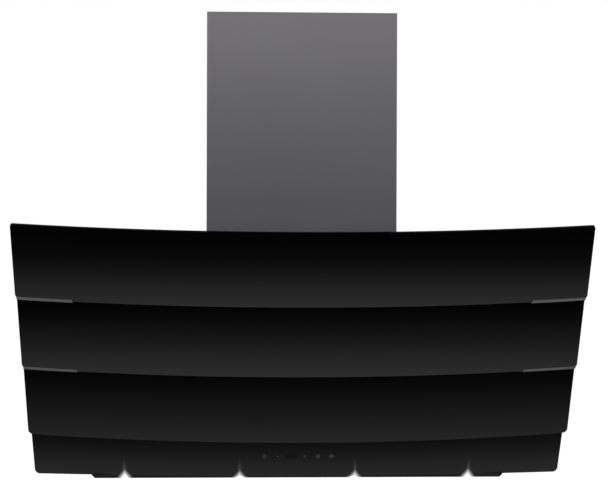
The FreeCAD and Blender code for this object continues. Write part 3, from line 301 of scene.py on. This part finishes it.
def lighter(colour, factor, lift=0.0):
    """A colour made lighter, at most white."""
    return tuple(min(channel * factor + lift, 1) for channel in colour)


def grey_stops(*levels):
    """Stops for grey levels out of 255, evenly spread from a face's lower edge to its upper edge."""
    last = len(levels) - 1
    return [(number / last, level / 255) for number, level in enumerate(levels)]


# Materials

def glass_sides(tree):
    """Masks of a pane's front with its upper edge and of its back with its lower edge.

    They go by which way the surface faces, so the pane's side edges are in neither.
    """
    least_turn = 0.3
    facing = axes(tree, tree.nodes.new("ShaderNodeTexCoord").outputs["Normal"])[1]
    front = math_node(tree, "LESS_THAN", facing, -least_turn)
    back = math_node(tree, "GREATER_THAN", facing, least_turn)
    return front, back


def black_glass(name, low, high, stops, lamp_glow=False):
    """Black glass with a painted reflection in front, a soft vertical gradient lighter towards its lower
    edge, with ground side edges and an enamelled back.

    Stops are (share of height, grey level).
    """
    material, tree, shader = new_material(name)
    place = object_place(tree)
    across, _, height = axes(tree, place)
    front, back = glass_sides(tree)
    speckle = spread(tree, noise(tree, place, scale=300, detail=4), 0.85, 1.15)
    behind = between(tree, back, 0, 1, GLASS_EDGE_LEVEL, GLASS_BACK_LEVEL)
    # Painted reflection: the front's grey follows the stops up its height, lighter at the lower edge.
    painted_reflection = level_ramp(tree, share_of(tree, height, low, high), stops)
    level = between(tree, front, 0, 1, times(tree, behind, speckle), painted_reflection)
    colour_from(tree, shader, grey(tree, level))
    smears = spread(tree, noise(tree, place, scale=14, detail=5), 0.035, 0.075)
    matt_behind = between(tree, front, 0, 1, 0.3, 0)
    tree.links.new(plus(tree, smears, matt_behind), shader.inputs["Roughness"])
    waves = noise(tree, place, scale=6, detail=1)
    bump(tree, shader, waves, strength=0.02, distance=0.3 * MM)
    shader.inputs["IOR"].default_value = GLASS_IOR
    # Painted lamp flare glowing on the lower edge, where asked for.
    if lamp_glow:
        painted_glow(tree, shader, painted_lamp_flare(tree, across, height))
    return material


def painted_lamp_flare(tree, across, height):
    """Painted flare of the four lamps on the lower edge, a glow though it is no lamp: a white notch and a
    thin streak above it.
    """
    contrast = 2.2
    shifted = minus(tree, across, NOTCH_SHIFT)
    pitches = math_node(tree, "DIVIDE", shifted, LAMP_PITCH)
    share = math_node(tree, "FRACT", plus(tree, pitches, LAMPS / 2))
    off = times(tree, math_node(tree, "ABSOLUTE", minus(tree, share, 0.5)), LAMP_PITCH)
    inside = math_node(tree, "LESS_THAN", math_node(tree, "ABSOLUTE", shifted), LAMPS / 2 * LAMP_PITCH)
    up = minus(tree, height, TRAY_BOTTOM)
    reach = plus(tree, times(tree, off, NOTCH_FADE_ACROSS), times(tree, up, NOTCH_FADE_UP))
    notch = between(tree, reach, NOTCH_CORE, NOTCH_REACH, 1, 0)
    streak = times(tree, between(tree, off, 0, STREAK_HALF_WIDTH, 1, 0),
                   between(tree, up, STREAK_START, STREAK_END, STREAK_LEVEL, 0))
    level = math_node(tree, "MAXIMUM", notch, streak)
    return times(tree, math_node(tree, "POWER", level, contrast), inside)


def brushed(name, colour, roughness, grain, stretch=(1, 18, 18)):
    """Metal with a fine grain along X or as stretch says, faint handling marks and rubbed edges."""
    material, tree, shader = new_material(name)
    place = object_place(tree)
    lines = noise(tree, place, grain, detail=6, stretch=stretch)
    patches = noise(tree, place, scale=9, detail=4)
    normal, edge = rounded_edges(tree, 0.4 * MM)
    handled, rubbed = lighter(colour, 1.12), lighter(colour, 1.36)
    flat = mixed(tree, share_of(tree, patches, 0.35, 0.75), colour, handled)
    colour_from(tree, shader, mixed(tree, edge, flat, rubbed))
    uneven_roughness(tree, shader, lines, roughness * 0.85, roughness * 1.15)
    shader.inputs["Metallic"].default_value = 1.0
    bump(tree, shader, lines, strength=0.05, distance=0.05 * MM, normal=normal)
    return material


def chimney_metal(name, low, high, stops):
    """Graphite metallic paint with painted light, lighter towards the ceiling and a little lighter at its
    foot, and a painted highlight on its bends; stops are (share of height, grey level).
    """
    violet_tint = (1.0, 0.965, 1.03)
    flake_change, patch_change, painted_edge_highlight = 0.006, 0.004, 0.02
    material, tree, shader = new_material(name)
    place = object_place(tree)
    height = axes(tree, place)[2]
    flakes = noise(tree, place, scale=2600, detail=2)
    patches = noise(tree, place, scale=5, detail=3)
    normal, edge = rounded_edges(tree, 1.6 * MM)
    # Painted light: the grey follows the stops up the height, lighter towards the ceiling.
    level = level_ramp(tree, share_of(tree, height, low, high), stops)
    level = plus(tree, level, spread(tree, flakes, -flake_change, flake_change))
    level = plus(tree, level, spread(tree, patches, -patch_change, patch_change))
    # Painted highlight along every bend and edge.
    level = plus(tree, level, times(tree, edge, painted_edge_highlight))
    colour_from(tree, shader, mixed(tree, 1, grey(tree, level), violet_tint, blend="MULTIPLY"))
    shader.inputs["Metallic"].default_value = 0.6
    uneven_roughness(tree, shader, flakes, 0.36, 0.46)
    bump(tree, shader, flakes, strength=0.04, distance=0.03 * MM, normal=normal)
    return material


def plain_paint(name, colour, roughness, specular=0.4, painted_flare_front=None):
    """Powder coated sheet with a fine orange peel; where a front depth is given, the face in front of that
    depth glows with a painted lamp flare.
    """
    material, tree, shader = new_material(name)
    place = object_place(tree)
    peel = noise(tree, place, scale=900, detail=2)
    patches = noise(tree, place, scale=7, detail=4)
    normal, edge = rounded_edges(tree, 0.9 * MM)
    faded, rubbed = lighter(colour, 1.25, lift=0.002), lighter(colour, 2, lift=0.012)
    flat = mixed(tree, share_of(tree, patches, 0.4, 0.8), colour, faded)
    worn = times(tree, edge, share_of(tree, patches, 0.4, 0.65))
    colour_from(tree, shader, mixed(tree, worn, flat, rubbed))
    uneven_roughness(tree, shader, patches, roughness * 0.85, roughness * 1.15)
    shader.inputs["Specular IOR Level"].default_value = specular
    bump(tree, shader, peel, strength=0.12, distance=0.08 * MM, normal=normal)
    # Painted lamp flare on the face in front of the given depth.
    if painted_flare_front is not None:
        across, depth, height = axes(tree, place)
        in_front = math_node(tree, "LESS_THAN", depth, painted_flare_front)
        painted_glow(tree, shader, times(tree, painted_lamp_flare(tree, across, height), in_front))
    return material


def moulded(name, colour, roughness, grain=1500):
    """Injection moulded plastic or rubber with a fine texture and edges rubbed lighter."""
    material, tree, shader = new_material(name)
    place = object_place(tree)
    texture = noise(tree, place, grain, detail=3)
    patches = noise(tree, place, scale=12, detail=3)
    normal, edge = rounded_edges(tree, 0.5 * MM)
    faded, rubbed = lighter(colour, 1.2, lift=0.003), lighter(colour, 1.5, lift=0.01)
    flat = mixed(tree, patches, colour, faded)
    worn = times(tree, edge, share_of(tree, patches, 0.35, 0.65))
    colour_from(tree, shader, mixed(tree, worn, flat, rubbed))
    uneven_roughness(tree, shader, texture, roughness * 0.9, roughness * 1.1)
    bump(tree, shader, texture, strength=0.15, distance=0.05 * MM, normal=normal)
    return material


def strand_pattern(tree, across, along, shift):
    """Diamond cells of stretched mesh: 1 on the strands, 0 in the slots."""
    cell_width, cell_height = 9 * MM, 4.4 * MM
    slot_side, strand_side = 0.30, 0.42
    column = plus(tree, math_node(tree, "DIVIDE", across, cell_width), shift)
    row = math_node(tree, "DIVIDE", along, cell_height)
    slants = []
    for slant in (plus(tree, column, row), minus(tree, column, row)):
        cell = math_node(tree, "FRACT", slant)
        slants.append(math_node(tree, "ABSOLUTE", minus(tree, cell, 0.5)))
    return share_of(tree, math_node(tree, "MAXIMUM", *slants), slot_side, strand_side)


def expanded_mesh(name):
    """Two layers of stretched aluminium mesh: bright strands over a layer behind them painted darker as its
    shade, and painted shade in the open slots.
    """
    # Painted shade: near black in the open slots, darker on the layer behind.
    slot_shade, shaded_layer = (0.03, 0.03, 0.031), (0.16, 0.16, 0.163)
    stained, clean = (0.36, 0.36, 0.365), (0.48, 0.48, 0.485)
    wobble, layer_shift = 0.4 * MM, 0.27
    material, tree, shader = new_material(name)
    place = object_place(tree)
    across, _, height = axes(tree, place)
    along = plus(tree, height, spread(tree, noise(tree, place, scale=40, detail=2), -wobble, wobble))
    front = strand_pattern(tree, across, along, 0)
    behind = strand_pattern(tree, across, along, layer_shift)
    # Painted shade where the front strands leave slots.
    shaded_depth = mixed(tree, behind, slot_shade, shaded_layer)
    bright = mixed(tree, noise(tree, place, scale=6, detail=4), stained, clean)
    colour_from(tree, shader, mixed(tree, front, shaded_depth, bright))
    shader.inputs["Metallic"].default_value = 0.85
    tree.links.new(between(tree, front, 0, 1, 0.6, 0.36), shader.inputs["Roughness"])
    relief = math_node(tree, "MAXIMUM", front, times(tree, behind, 0.5))
    bump(tree, shader, relief, strength=0.7, distance=0.7 * MM)
    return material


def bent_cells(tree, place, scale, bend, bend_scale):
    """A random value for each crystal of a sheet, their borders bent by a noise."""
    drift = tree.nodes.new("ShaderNodeTexNoise")
    drift.inputs["Scale"].default_value = bend_scale
    tree.links.new(place, drift.inputs["Vector"])
    bent = tree.nodes.new("ShaderNodeVectorMath")
    bent.operation = "ADD"
    tree.links.new(scaled(tree, drift.outputs["Color"], (bend, bend, bend)), bent.inputs[0])
    tree.links.new(place, bent.inputs[1])
    cells = tree.nodes.new("ShaderNodeTexVoronoi")
    cells.inputs["Scale"].default_value = scale
    tree.links.new(bent.outputs[0], cells.inputs["Vector"])
    return axes(tree, cells.outputs["Color"])[0]


def galvanised(name):
    """Zinc coated sheet with its faint crystal spangle and dull patches."""
    dull, bright, rubbed = (0.30, 0.31, 0.32), (0.44, 0.45, 0.46), (0.6, 0.6, 0.6)
    crystal_part = 0.22
    material, tree, shader = new_material(name)
    place = object_place(tree)
    crystals = bent_cells(tree, place, scale=150, bend=7 * MM, bend_scale=60)
    patches = noise(tree, place, scale=7, detail=4)
    shade = plus(tree, times(tree, crystals, crystal_part), times(tree, patches, 1 - crystal_part))
    shade = share_of(tree, shade, 0.25, 0.75)
    _, edge = rounded_edges(tree, 0.8 * MM)
    colour_from(tree, shader, mixed(tree, edge, mixed(tree, shade, dull, bright), rubbed))
    shader.inputs["Metallic"].default_value = 1.0
    tree.links.new(between(tree, shade, 0, 1, 0.48, 0.36), shader.inputs["Roughness"])
    bump(tree, shader, crystals, strength=0.03, distance=0.03 * MM)
    return material


def lamp_lens(name):
    """A frosted lens that glows."""
    material, tree, shader = new_material(name)
    frost = noise(tree, object_place(tree), scale=700, detail=3)
    shader.inputs["Base Color"].default_value = (0.9, 0.9, 0.87, 1)
    uneven_roughness(tree, shader, frost, 0.25, 0.4)
    shader.inputs["Emission Color"].default_value = (1.0, 0.98, 0.93, 1)
    shader.inputs["Emission Strength"].default_value = 1.6
    bump(tree, shader, frost, strength=0.2, distance=0.05 * MM)
    return material


def print_ink(name, level):
    """Soft grey printing as little glossy as the glass."""
    material, tree, shader = new_material(name)
    speckle = noise(tree, object_place(tree), scale=1800, detail=2)
    colour_from(tree, shader, grey(tree, spread(tree, speckle, level * 0.92, level * 1.08)))
    uneven_roughness(tree, shader, speckle, 0.3, 0.45)
    shader.inputs["IOR"].default_value = GLASS_IOR
    return material


# Finishes of the CAD nodes

def dress(names, material):
    """Give CAD nodes a material."""
    for name in names:
        for slot in nodes[name].material_slots:
            slot.material = material


def dress_glass():
    """Three panes and the control band, each with its own painted reflection: a gradient from its lower edge
    up.
    """
    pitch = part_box("glass_lamella_middle")[0].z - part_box("glass_lamella_bottom")[0].z
    # Painted reflection on each pane: lighter at its lower edge, near black at its upper edge.
    levels = {"top": (45, 35, 20, 6, 0), "middle": (47, 38, 26, 14, 1), "bottom": (41, 32, 24, 15, 5)}
    for pane, greys in levels.items():
        name = "glass_lamella_" + pane
        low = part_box(name)[0].z
        dress([name], black_glass("glass_" + pane, low, low + pitch, grey_stops(*greys)))
    low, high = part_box("control_glass")
    # The band's painted reflection, with a painted lamp flare glowing on its lower edge.
    band = black_glass("glass_band", low.z, high.z, grey_stops(43, 37, 27, 18, 13), lamp_glow=True)
    dress(["control_glass"], band)


def dress_sheet_metal():
    """The chimney's two covers, the painted and the zinc coated sheets, and the lamp tray."""
    low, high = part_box("chimney_lower_cover")
    # Painted light on the chimney: lighter towards the ceiling, and lighter again at the foot against the
    # shade of the glass in front.
    levels = grey_stops(95, 82, 84, 89, 95, 102, 107)
    dress(["chimney_lower_cover", "chimney_upper_cover"],
          chimney_metal("graphite_metallic", low.z, high.z, levels))
    dress(["base_panel", "front_frame", "left_side_panel", "right_side_panel", "top_panel",
           "door_arm_left", "door_arm_right", "door_rail_bottom", "door_rail_top", "band_brackets"],
          plain_paint("black_powder_coat", (0.012, 0.012, 0.013), roughness=0.45))
    # The tray's front face glows with a painted lamp flare.
    dress(["lamp_tray"],
          plain_paint("black_tray_coat", (0.008, 0.008, 0.0085), roughness=0.5, specular=0.1,
                      painted_flare_front=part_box("lamp_tray")[0].y + 0.5 * MM))
    dress(["back_panel", "blower_housing_left", "blower_housing_right", "blower_motor",
           "motor_cradle", "impeller", "capacitor_strap", "chimney_angles", "chimney_wall_bracket"],
          galvanised("zinc_sheet"))


def dress_bright_metal():
    """Clips, filters, lamp housings, pins, shafts and latches."""
    dress(["lamella_clips_upper", "lamella_clips_lower"],
          brushed("satin_clip", (0.10, 0.10, 0.103), roughness=0.4, grain=900))
    dress(["left_filter_frame", "right_filter_frame", "lamp_housings"],
          brushed("satin_aluminium", (0.42, 0.42, 0.43), roughness=0.36, grain=700))
    dress(["left_filter_mesh", "right_filter_mesh"], expanded_mesh("stretched_mesh"))
    dress(["hinge_brackets", "hinge_pins", "motor_shaft", "flap_shaft",
           "strike_plates", "left_filter_latch", "right_filter_latch"],
          brushed("bright_steel", (0.5, 0.5, 0.5), roughness=0.28, grain=900))


def dress_plastics():
    """Mouldings, rubber, the touch board and the lamps' lenses."""
    dress(["key_carrier", "mains_gland", "outlet_collar", "damper_flap_rear", "damper_flap_front",
           "door_magnets", "display_module"],
          moulded("black_plastic", (0.016, 0.016, 0.017), roughness=0.5))
    dress(["control_box", "control_box_lid", "run_capacitor"],
          moulded("grey_plastic", (0.24, 0.24, 0.25), roughness=0.48))
    dress(["glass_pads", "door_bumpers"],
          moulded("black_rubber", (0.012, 0.012, 0.012), roughness=0.75, grain=600))
    dress(["touch_board"], moulded("circuit_board", (0.01, 0.09, 0.04), roughness=0.35))
    dress(["lamp_lenses"], lamp_lens("lamp_glow"))


# Shapes

def finish_piece(name, shape, material, body):
    """Turn a closed shape into a piece that rides on a body and takes its finish from a slot."""
    bmesh.ops.recalc_face_normals(shape, faces=shape.faces)
    mesh = bpy.data.meshes.new(name)
    shape.to_mesh(mesh)
    shape.free()
    mesh.materials.append(material)
    piece = bpy.data.objects.new(name, mesh)
    scene.collection.objects.link(piece)
    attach(piece, body)


def faces_of(name):
    """A node's mesh as a surface that rays can be cast at."""
    mesh = nodes[name].data
    return BVHTree.FromPolygons([vertex.co for vertex in mesh.vertices],
                                [polygon.vertices for polygon in mesh.polygons])


def first_hit(faces, start, direction):
    """Where a ray meets a surface, and the surface's normal towards the ray's start."""
    place, normal, _, _ = faces.ray_cast(Vector(start), Vector(direction))
    if normal.dot(Vector(direction)) > 0:
        normal.negate()
    return place, normal


def swept(shape, sections, closed=False):
    """Skin a row of equal sections; the ends are capped unless the row closes on itself."""
    rows = [[shape.verts.new(point) for point in section] for section in sections]
    pairs = list(zip(rows, rows[1:]))
    if closed:
        pairs.append((rows[-1], rows[0]))
    else:
        shape.faces.new(rows[0])
        shape.faces.new(rows[-1][::-1])
    for here, there in pairs:
        for corner in range(len(here)):
            after = (corner + 1) % len(here)
            shape.faces.new((here[corner], there[corner], there[after], here[after]))


def lathed(shape, profile, turns=32):
    """Turn (radius, height) pairs about Z and close the bottom; returns the edges round the open top."""
    rings = []
    for radius, height in profile:
        rings.append([shape.verts.new((radius * math.cos(math.tau * step / turns),
                                       radius * math.sin(math.tau * step / turns), height))
                      for step in range(turns)])
    for lower, upper in zip(rings, rings[1:]):
        for step in range(turns):
            following = (step + 1) % turns
            shape.faces.new((lower[step], lower[following], upper[following], upper[step]))
    shape.faces.new(rings[0][::-1])
    return [edge for edge in shape.edges if all(vertex in rings[-1] for vertex in edge.verts)]


# Screws

def sunk_cross(shape, reach, half_width, top, floor_level):
    """A cross recess open at the top; returns the edges round its mouth."""
    corner = [(reach, -half_width), (reach, half_width), (half_width, half_width)]
    outline = []
    for quarter in range(4):
        turn = Matrix.Rotation(quarter * math.pi / 2, 2)
        outline += [turn @ Vector(point) for point in corner]
    mouth, floor = [[shape.verts.new((*point, level)) for point in outline] for level in (top, floor_level)]
    lip = []
    for number in range(len(outline)):
        after = (number + 1) % len(outline)
        shape.faces.new((mouth[number], floor[number], floor[after], mouth[after]))
        lip.append(shape.edges.get((mouth[number], mouth[after])))
    shape.faces.new(floor)
    return lip


def screw_head(radius):
    """The mesh of a pan head with a sunk cross recess, its seat at the origin and its top up Z."""
    height = radius * 0.62
    outline = ((1, 0), (1, 0.35), (0.9, 0.72), (0.74, 0.93), (0.6, 1))
    cross_reach, cross_half_width, cross_floor = radius * 0.5, radius * 0.14, height * 0.45
    shape = bmesh.new()
    rim = lathed(shape, [(radius * across, height * up) for across, up in outline])
    lip = sunk_cross(shape, cross_reach, cross_half_width, height, cross_floor)
    bmesh.ops.triangle_fill(shape, use_beauty=True, edges=rim + lip)
    bmesh.ops.triangulate(shape, faces=[face for face in shape.faces if len(face.verts) > 4])
    head = bpy.data.meshes.new("head")
    shape.to_mesh(head)
    shape.free()
    return head


def screws(name, places, direction, radius, material):
    """Screw heads at the given places, all facing one direction."""
    turn = Vector((0, 0, 1)).rotation_difference(Vector(direction)).to_matrix().to_4x4()
    head = screw_head(radius)
    joined = bmesh.new()
    for place in places:
        joined.from_mesh(head)
        joined.verts.ensure_lookup_table()
        newest = joined.verts[-len(head.vertices):]
        bmesh.ops.transform(joined, matrix=Matrix.Translation(place) @ turn, verts=newest)
    bpy.data.meshes.remove(head)
    finish_piece(name, joined, material, "hood")


def chimney_screws(material):
    """Two screws on each side hold the lower cover to its angles."""
    radius, foot_distance = 3.4 * MM, 7 * MM
    low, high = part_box("chimney_lower_cover")
    for name, side, edge in (("left", -1, low.x), ("right", 1, high.x)):
        places = [Vector((edge, low.y * share, low.z + foot_distance)) for share in (0.25, 0.75)]
        screws(f"chimney_screws_{name}", places, (side, 0, 0), radius, material)


def top_screws(material):
    """Screws along the sides and the back of the top panel."""
    inset = 8 * MM
    _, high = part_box("top_panel")
    places = [Vector((side * (high.x - inset), depth * MM, high.z))
              for side in (-1, 1) for depth in (-30, -115, -200, -285)]
    places += [Vector((across * MM, -inset, high.z)) for across in (-330, -230, 230, 330)]
    screws("top_screws", places, (0, 0, 1), SHEET_SCREW_RADIUS, material)


def side_screws(material):
    """A row of screws down the back of each side panel."""
    depth = -10 * MM
    for name, side, corner in (("left", -1, 0), ("right", 1, 1)):
        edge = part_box(name + "_side_panel")[corner].x
        places = [Vector((edge, depth, height * MM)) for height in (-300, -180, -60, 55)]
        screws(f"side_screws_{name}", places, (side, 0, 0), SHEET_SCREW_RADIUS, material)


def base_screws(material):
    """Screws along the back of the underside and one further forward on each side."""
    rows = {-12: (-410, -205, 0, 205, 410), -75: (-410, 410)}
    places = [Vector((across * MM, depth * MM, UNDERSIDE)) for depth, row in rows.items() for across in row]
    screws("base_screws", places, (0, 0, -1), SHEET_SCREW_RADIUS, material)


def frame_screws(material):
    """Screws down the sides and the middle of the front frame, behind the door."""
    faces = faces_of("front_frame")
    columns = {-414: (-250, -160, -70, 20), 0: (-170, -85, 0), 414: (-250, -160, -70, 20)}
    hits = [first_hit(faces, (across * MM, -1, height * MM), (0, 1, 0))
            for across, heights in columns.items() for height in heights]
    screws("frame_screws", [place for place, _ in hits], hits[0][1], SHEET_SCREW_RADIUS, material)


def corner_screws(name, node, material, inset, radius, side):
    """Four screws at the corners of a node, on its upper side (1) or its underside (-1)."""
    faces = faces_of(node)
    low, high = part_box(node)
    places = [first_hit(faces, (across, depth, side), (0, 0, -side))[0]
              for across in (low.x + inset, high.x - inset) for depth in (low.y + inset, high.y - inset)]
    screws(name, places, (0, 0, side), radius, material)


# Trim

def turned_section(section, centre, turns=48):
    """The places that a section of (radius, height) pairs takes while it turns about an upright axis."""
    angles = [math.tau * step / turns for step in range(turns)]
    return [[(centre[0] + radius * math.cos(angle), centre[1] + radius * math.sin(angle), height)
             for radius, height in section] for angle in angles]


def lamp_bezels(material):
    """A thin turned trim ring round each lamp, seated on the tray's underside."""
    inner, outer, drop = 23.6 * MM, 27.6 * MM, 0.4 * MM
    face = TRAY_BOTTOM - drop
    section = [(inner, TRAY_BOTTOM), (inner, TRAY_BOTTOM - drop * 0.6), (inner + drop, face),
               (outer - 2 * drop, face), (outer, TRAY_BOTTOM - drop * 0.3), (outer, TRAY_BOTTOM)]
    shape = bmesh.new()
    for number in range(LAMPS):
        across = (number - (LAMPS - 1) / 2) * LAMP_PITCH
        swept(shape, turned_section(section, (across, LAMP_DEPTH)), closed=True)
    finish_piece("lamp_bezels", shape, material, "hood")


def lower_edge(pane):
    """Where the outer lower edge of a bent pane lies: its place down the slope and its least depth."""
    tolerance = 0.05 * MM
    lowest = max(vertex.co.dot(DOWN_SLOPE) for vertex in pane.data.vertices)
    depths = [vertex.co.dot(INWARD) for vertex in pane.data.vertices
              if vertex.co.dot(DOWN_SLOPE) > lowest - tolerance]
    return lowest, min(depths)


def lip_section():
    """Corners of a lip as (down the slope, inward): a leg on the pane's face and a foot under its edge."""
    leg, foot, thick, soft, inner = 3.3 * MM, 0.2 * MM, 0.6 * MM, 0.2 * MM, 5.4 * MM
    return [(-leg, 0), (-leg, soft - thick), (soft - leg, -thick), (foot - soft, -thick),
            (foot, soft - thick), (foot, inner), (0, inner), (0, 0)]


def clip_lips(material):
    """Satin lips that hook the end clips under the panes: a fine bright line at the ends of two seams."""
    start, end, steps = 360 * MM, 447 * MM, 8
    for level, pane in (("upper", "glass_lamella_top"), ("lower", "glass_lamella_middle")):
        down, depth = lower_edge(nodes[pane])
        for name, side in (("left", -1), ("right", 1)):
            sections = []
            for step in range(steps + 1):
                across = side * (start + (end - start) * step / steps)
                bend = BEND_RADIUS - math.sqrt(BEND_RADIUS ** 2 - across ** 2)
                corner = Vector((across, 0, 0)) + DOWN_SLOPE * down + INWARD * (depth + bend)
                sections.append([corner + DOWN_SLOPE * along + INWARD * inward
                                 for along, inward in lip_section()])
            shape = bmesh.new()
            swept(shape, sections)
            finish_piece(f"clip_lip_{level}_{name}", shape, material, "door")


# Touch signs, their points in millimetres

def arc(radius, start, end, steps=28):
    """Points on an arc between two angles in degrees."""
    angles = [math.radians(start + (end - start) * step / steps) for step in range(steps + 1)]
    return [(radius * math.cos(angle), radius * math.sin(angle)) for angle in angles]


def bar(first, last, steps=4):
    """Points on a straight line."""
    return [(first[0] + (last[0] - first[0]) * step / steps, first[1] + (last[1] - first[1]) * step / steps)
            for step in range(steps + 1)]


def touch_signs():
    """Generic signs, each at its number of pitches from the display."""
    power = [arc(2.7, 125, 415), bar((0, 0), (0, 3.4))]
    less = [bar((-2.2, 0), (2.2, 0))]
    more = [bar((-2.0, 0), (2.0, 0)), bar((0, -2.0), (0, 2.0))]
    timer = [arc(2.9, 0, 360), bar((0, -0.4), (0, 1.7)), bar((0, 0), (1.5, 0))]
    light = [arc(2.9, 0, 360), arc(0.9, 0, 360)]
    return {-2: power, -1: less, 1: more, 2: timer, 3: light}


def on_band(glass, across, up, lift):
    """The point on the band's outer face at this place and height along its slope, raised by lift."""
    place, normal = first_hit(glass, (across, -1, TOUCH_HEIGHT + up * BAND_RISE), (0, 1, 0))
    return place + normal * lift


def printed_line(shape, glass, centre, points, half_width):
    """A thin raised line printed on the glass along points."""
    same_place = 0.01
    closed = math.dist(points[0], points[-1]) < same_place
    if closed:
        points = points[:-1]
    last = len(points) - 1
    sections = []
    for number, point in enumerate(points):
        before = points[number - 1 if number or closed else 0]
        after = points[(number + 1) % len(points) if closed else min(number + 1, last)]
        run = Vector((after[0] - before[0], after[1] - before[1])).normalized()
        section = []
        for side, lift in ((-1, 0), (1, 0), (1, PRINT_LIFT), (-1, PRINT_LIFT)):
            across = centre + (point[0] - run.y * side * half_width) * MM
            up = (point[1] + run.x * side * half_width) * MM
            section.append(on_band(glass, across, up, lift))
        sections.append(section)
    swept(shape, sections, closed)


def touch_marks():
    """Five soft grey signs and the dark display window on the control band."""
    sign_half_width, window_half_length, window_half_height = 0.6, 9, 4.2
    glass = faces_of("control_glass")
    signs = bmesh.new()
    for pitches, lines in touch_signs().items():
        for points in lines:
            printed_line(signs, glass, DISPLAY_PLACE + pitches * TOUCH_PITCH, points, sign_half_width)
    window = bmesh.new()
    middle = bar((-window_half_length, 0), (window_half_length, 0), steps=12)
    printed_line(window, glass, DISPLAY_PLACE, middle, window_half_height)
    finish_piece("touch_marks", signs, print_ink("grey_print", SIGN_LEVEL), "hood")
    finish_piece("display_window", window, print_ink("window_print", WINDOW_LEVEL), "hood")


# Studio

def make_camera():
    """A camera turned right by its yaw and up by its pitch, with its right side raised by its roll."""
    data = bpy.data.cameras.new("camera")
    data.lens = FOCAL_LENGTH
    data.sensor_width = SENSOR_WIDTH
    data.clip_end = 100
    camera = bpy.data.objects.new("camera", data)
    scene.collection.objects.link(camera)
    level_and_up = math.radians(90) + CAMERA_PITCH
    camera.matrix_world = (Matrix.Translation(CAMERA_PLACE) @ Matrix.Rotation(-CAMERA_YAW, 4, "Z")
                           @ Matrix.Rotation(level_and_up, 4, "X") @ Matrix.Rotation(CAMERA_ROLL, 4, "Z"))
    scene.camera = camera


def seen_directly(tree):
    """1 for camera, mirror and see-through rays, 0 for the rays that light the object."""
    path = tree.nodes.new("ShaderNodeLightPath")
    through = math_node(tree, "MAXIMUM", path.outputs["Is Glossy Ray"], path.outputs["Is Transmission Ray"])
    return math_node(tree, "MAXIMUM", path.outputs["Is Camera Ray"], through)


def make_world():
    """A soft even sky that shows as plain white."""
    sky, white = (0.86, 0.87, 0.88), (1, 1, 1)
    world = bpy.data.worlds.new("studio")
    world.use_nodes = True
    tree = world.node_tree
    background = next(node for node in tree.nodes if node.type == "BACKGROUND")
    tree.links.new(mixed(tree, seen_directly(tree), sky, white), background.inputs["Color"])
    background.inputs["Strength"].default_value = 1.0
    scene.world = world


def floor_material():
    """Pale floor that shows nearly white, keeps the object's shadow and is open from below."""
    material = bpy.data.materials.new("pale_floor")
    material.use_nodes = True
    tree = material.node_tree
    tree.nodes.clear()
    output = tree.nodes.new("ShaderNodeOutputMaterial")
    diffuse = tree.nodes.new("ShaderNodeBsdfDiffuse")
    diffuse.inputs["Color"].default_value = (0.9, 0.9, 0.9, 1)
    lift = tree.nodes.new("ShaderNodeEmission")
    tree.links.new(times(tree, seen_directly(tree), FLOOR_LIFT), lift.inputs["Strength"])
    lit = tree.nodes.new("ShaderNodeAddShader")
    tree.links.new(diffuse.outputs[0], lit.inputs[0])
    tree.links.new(lift.outputs[0], lit.inputs[1])
    open_below = tree.nodes.new("ShaderNodeMixShader")
    tree.links.new(tree.nodes.new("ShaderNodeNewGeometry").outputs["Backfacing"], open_below.inputs["Fac"])
    tree.links.new(lit.outputs[0], open_below.inputs[1])
    tree.links.new(tree.nodes.new("ShaderNodeBsdfTransparent").outputs[0], open_below.inputs[2])
    tree.links.new(open_below.outputs[0], output.inputs["Surface"])
    return material


def make_floor():
    """A wide floor below the hood."""
    size = FLOOR_HALF_SIZE
    mesh = bpy.data.meshes.new("floor")
    mesh.from_pydata([(-size, -size, 0), (size, -size, 0), (size, size, 0), (-size, size, 0)], [],
                     [(0, 1, 2, 3)])
    mesh.materials.append(floor_material())
    floor = bpy.data.objects.new("floor", mesh)
    scene.collection.objects.link(floor)
    floor.location.z = cad_box[0][2] - FLOOR_DROP


def area_light(name, location, size, power):
    """A square soft light aimed at the middle of the hood."""
    data = bpy.data.lights.new(name, "AREA")
    data.shape = "SQUARE"
    data.size = size
    data.energy = power
    light = bpy.data.objects.new(name, data)
    scene.collection.objects.link(light)
    light.location = location
    aim = Vector(LIGHT_TARGET) - Vector(location)
    light.rotation_euler = aim.to_track_quat("-Z", "Y").to_euler()


# Making

dress_glass()
dress_sheet_metal()
dress_bright_metal()
dress_plastics()
screw_steel = brushed("screw_steel", (0.3, 0.3, 0.31), roughness=0.3, grain=1200, stretch=(1, 1, 1))
chimney_screws(screw_steel)
top_screws(screw_steel)
side_screws(screw_steel)
base_screws(screw_steel)
frame_screws(screw_steel)
corner_screws("collar_screws", "outlet_collar", screw_steel, inset=8 * MM, radius=2.8 * MM, side=1)
corner_screws("tray_screws", "lamp_tray", screw_steel, inset=11 * MM, radius=2.4 * MM, side=-1)
lamp_bezels(brushed("bezel_satin", (0.32, 0.32, 0.33), roughness=0.34, grain=900, stretch=(1, 1, 1)))
clip_lips(brushed("satin_lip", (0.075, 0.075, 0.077), roughness=0.4, grain=900))
touch_marks()
make_camera()
make_world()
make_floor()
area_light("key", (-1.6, -2.6, 1.8), size=1.6, power=18)
area_light("fill", (2.0, -2.2, 0.6), size=1.8, power=8)
scene.view_settings.view_transform = "Standard"
